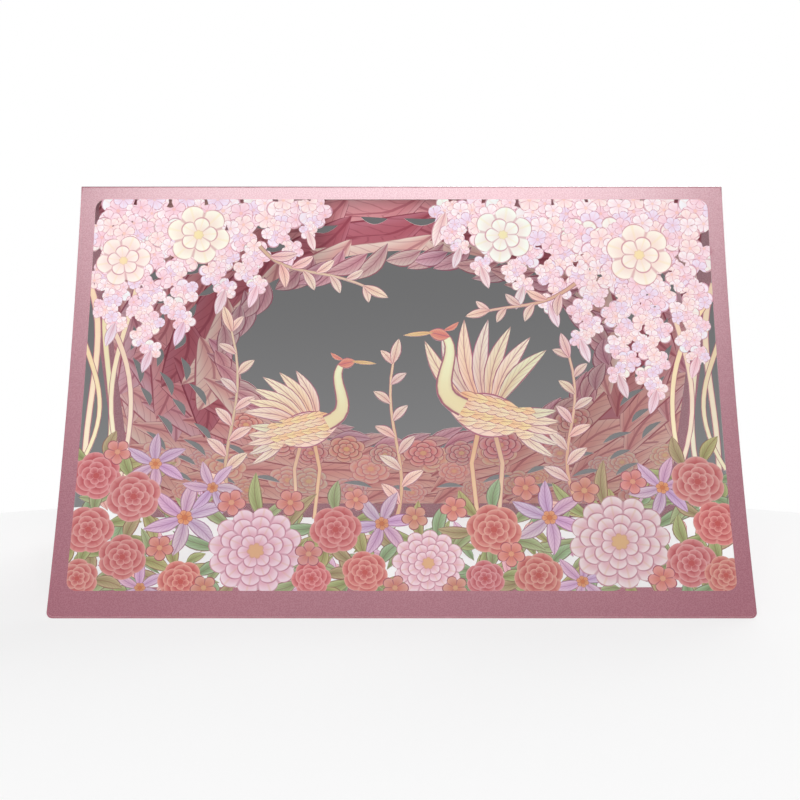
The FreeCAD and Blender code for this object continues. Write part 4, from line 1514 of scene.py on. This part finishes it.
def show(tools: NodeTools, share: object, lit: bpy.types.Node, seen: bpy.types.Node) -> None:
    """Join what lights the card and what is seen, and make it the tree's surface.

    Args:
        tools: The tree.
        share: Share of the seen shader.
        lit: Shader for every other ray.
        seen: Shader that the camera sees.
    """
    shown = tools.node("ShaderNodeMixShader")
    tools.link(share, shown.inputs[0])
    tools.link(lit.outputs[0], shown.inputs[1])
    tools.link(seen.outputs[0], shown.inputs[2])
    out = next(node for node in tools.tree.nodes if "Surface" in node.inputs and not node.outputs)
    tools.link(shown.outputs[0], out.inputs["Surface"])


@dataclass(frozen=True)
class Lamp:
    """A soft square light: its name, place, aim, side and watts."""

    name: str
    place: tuple
    aim: tuple
    size: float
    watts: float

    def build(self) -> None:
        """Hang the light and point it at its aim."""
        light = bpy.data.lights.new(self.name, "AREA")
        light.size = self.size
        light.energy = self.watts
        made = bpy.data.objects.new(self.name, light)
        made.location = self.place
        made.rotation_euler = (Vector(self.aim) - Vector(self.place)).to_track_quat("-Z", "Y").to_euler()
        bpy.context.scene.collection.objects.link(made)


LAMPS = [
    Lamp("key_light", (0.0, -0.95, 0.78), (0.0, 0.0, 0.07), 0.60, 7.0),
    Lamp("side_light", (-0.95, -0.45, 0.35), (0.0, 0.0, 0.05), 0.5, 1.6),
    Lamp("low_light", (-0.30, -1.30, 0.33), (0.0, 0.0, 0.05), 0.6, 4.2),
    Lamp("rear_light", (0.35, 1.15, 0.95), (0.0, 0.0, 0.06), 0.8, 15.0),
]


@dataclass
class Studio:
    """The pale table top, the backdrop, the soft lights and the camera."""

    table_middle: tuple = (0.0, -0.23, 0.0)
    table_radius: float = 0.35
    table_colour: Colour = (0.88, 0.88, 0.88)
    table_glow: float = 0.7
    room_light: float = 0.17
    room_colour: Colour = (0.96, 0.97, 1.0)
    ceiling_colour: Colour = (0.12, 0.12, 0.12)
    ceiling_start: tuple = (0.45, 0.70)
    camera_place: tuple = (-0.0005, -0.585, 0.132)
    camera_drop: float = math.radians(7.5)
    camera_lens: float = 79.6
    sensor_width: float = 36.0
    near_limit: float = 0.01

    def build(self) -> None:
        """Set up the table, the backdrop, the lights, the world and the camera."""
        self.table()
        self.backdrop()
        for lamp in LAMPS:
            lamp.build()
        self.world()
        self.camera()
        bpy.context.scene.view_settings.view_transform = "Standard"

    def world(self) -> None:
        """Fill the room with a weak even light, between white walls and under a dim ceiling."""
        world = bpy.data.worlds.new("soft_room")
        world.use_nodes = True
        bpy.context.scene.world = world
        tree = world.node_tree
        tools = NodeTools(tree)
        room = tree.nodes["Background"]
        room.inputs["Color"].default_value = full(self.room_colour)
        room.inputs["Strength"].default_value = self.room_light
        split = tools.node("ShaderNodeSeparateXYZ")
        tools.link(tools.node("ShaderNodeTexCoord").outputs["Generated"], split.inputs[0])
        walls = tools.node("ShaderNodeBackground", {"Strength": 1.0})
        ceiling = tools.between(split.outputs[2], *self.ceiling_start)
        tools.link(tools.mix(ceiling, full(WHITE), full(self.ceiling_colour)), walls.inputs["Color"])
        show(tools, seen_mask(tools), room, walls)

    def camera(self) -> None:
        """Place the camera where the photograph was taken from."""
        camera = bpy.data.cameras.new("camera")
        camera.lens = self.camera_lens
        camera.sensor_width = self.sensor_width
        camera.clip_start = self.near_limit
        view = bpy.data.objects.new("camera", camera)
        view.location = self.camera_place
        view.rotation_euler = (0.5 * math.pi - self.camera_drop, 0.0, 0.0)
        bpy.context.scene.collection.objects.link(view)
        bpy.context.scene.camera = view

    def table(self) -> None:
        """Lay the pale round table top that the card stands on."""
        bpy.ops.object.select_all(action="DESELECT")
        bpy.ops.mesh.primitive_circle_add(vertices=128, radius=self.table_radius, fill_type="NGON",
                                          location=self.table_middle)
        bpy.ops.object.transform_apply(location=True, rotation=True, scale=True)
        table = bpy.context.object
        table.name = "table"
        material = bpy.data.materials.new("pale_table")
        material.use_nodes = True
        surface = material.node_tree.nodes["Principled BSDF"]
        surface.inputs["Base Color"].default_value = full(self.table_colour)
        surface.inputs["Roughness"].default_value = 0.9
        tools = NodeTools(material.node_tree)
        glow = tools.node("ShaderNodeEmission")
        show(tools, tools.math("MULTIPLY", seen_mask(tools), self.table_glow), surface, glow)
        table.data.materials.append(material)

    def backdrop(self) -> None:
        """Hang the backdrop well behind the card."""
        bpy.ops.object.select_all(action="DESELECT")
        finish = BackdropFinish()
        bpy.ops.mesh.primitive_plane_add(size=finish.size, location=finish.middle,
                                         rotation=(0.5 * math.pi, 0.0, 0.0))
        bpy.ops.object.transform_apply(location=True, rotation=True, scale=True)
        backdrop = bpy.context.object
        backdrop.name = "backdrop"
        backdrop.data.materials.append(finish.material())


def main() -> None:
    """Build the card and the studio."""
    logging.basicConfig(level=logging.INFO, format="%(message)s")
    Card(CardSizes()).build()
    Studio().build()


if __name__ == "__main__":
    main()
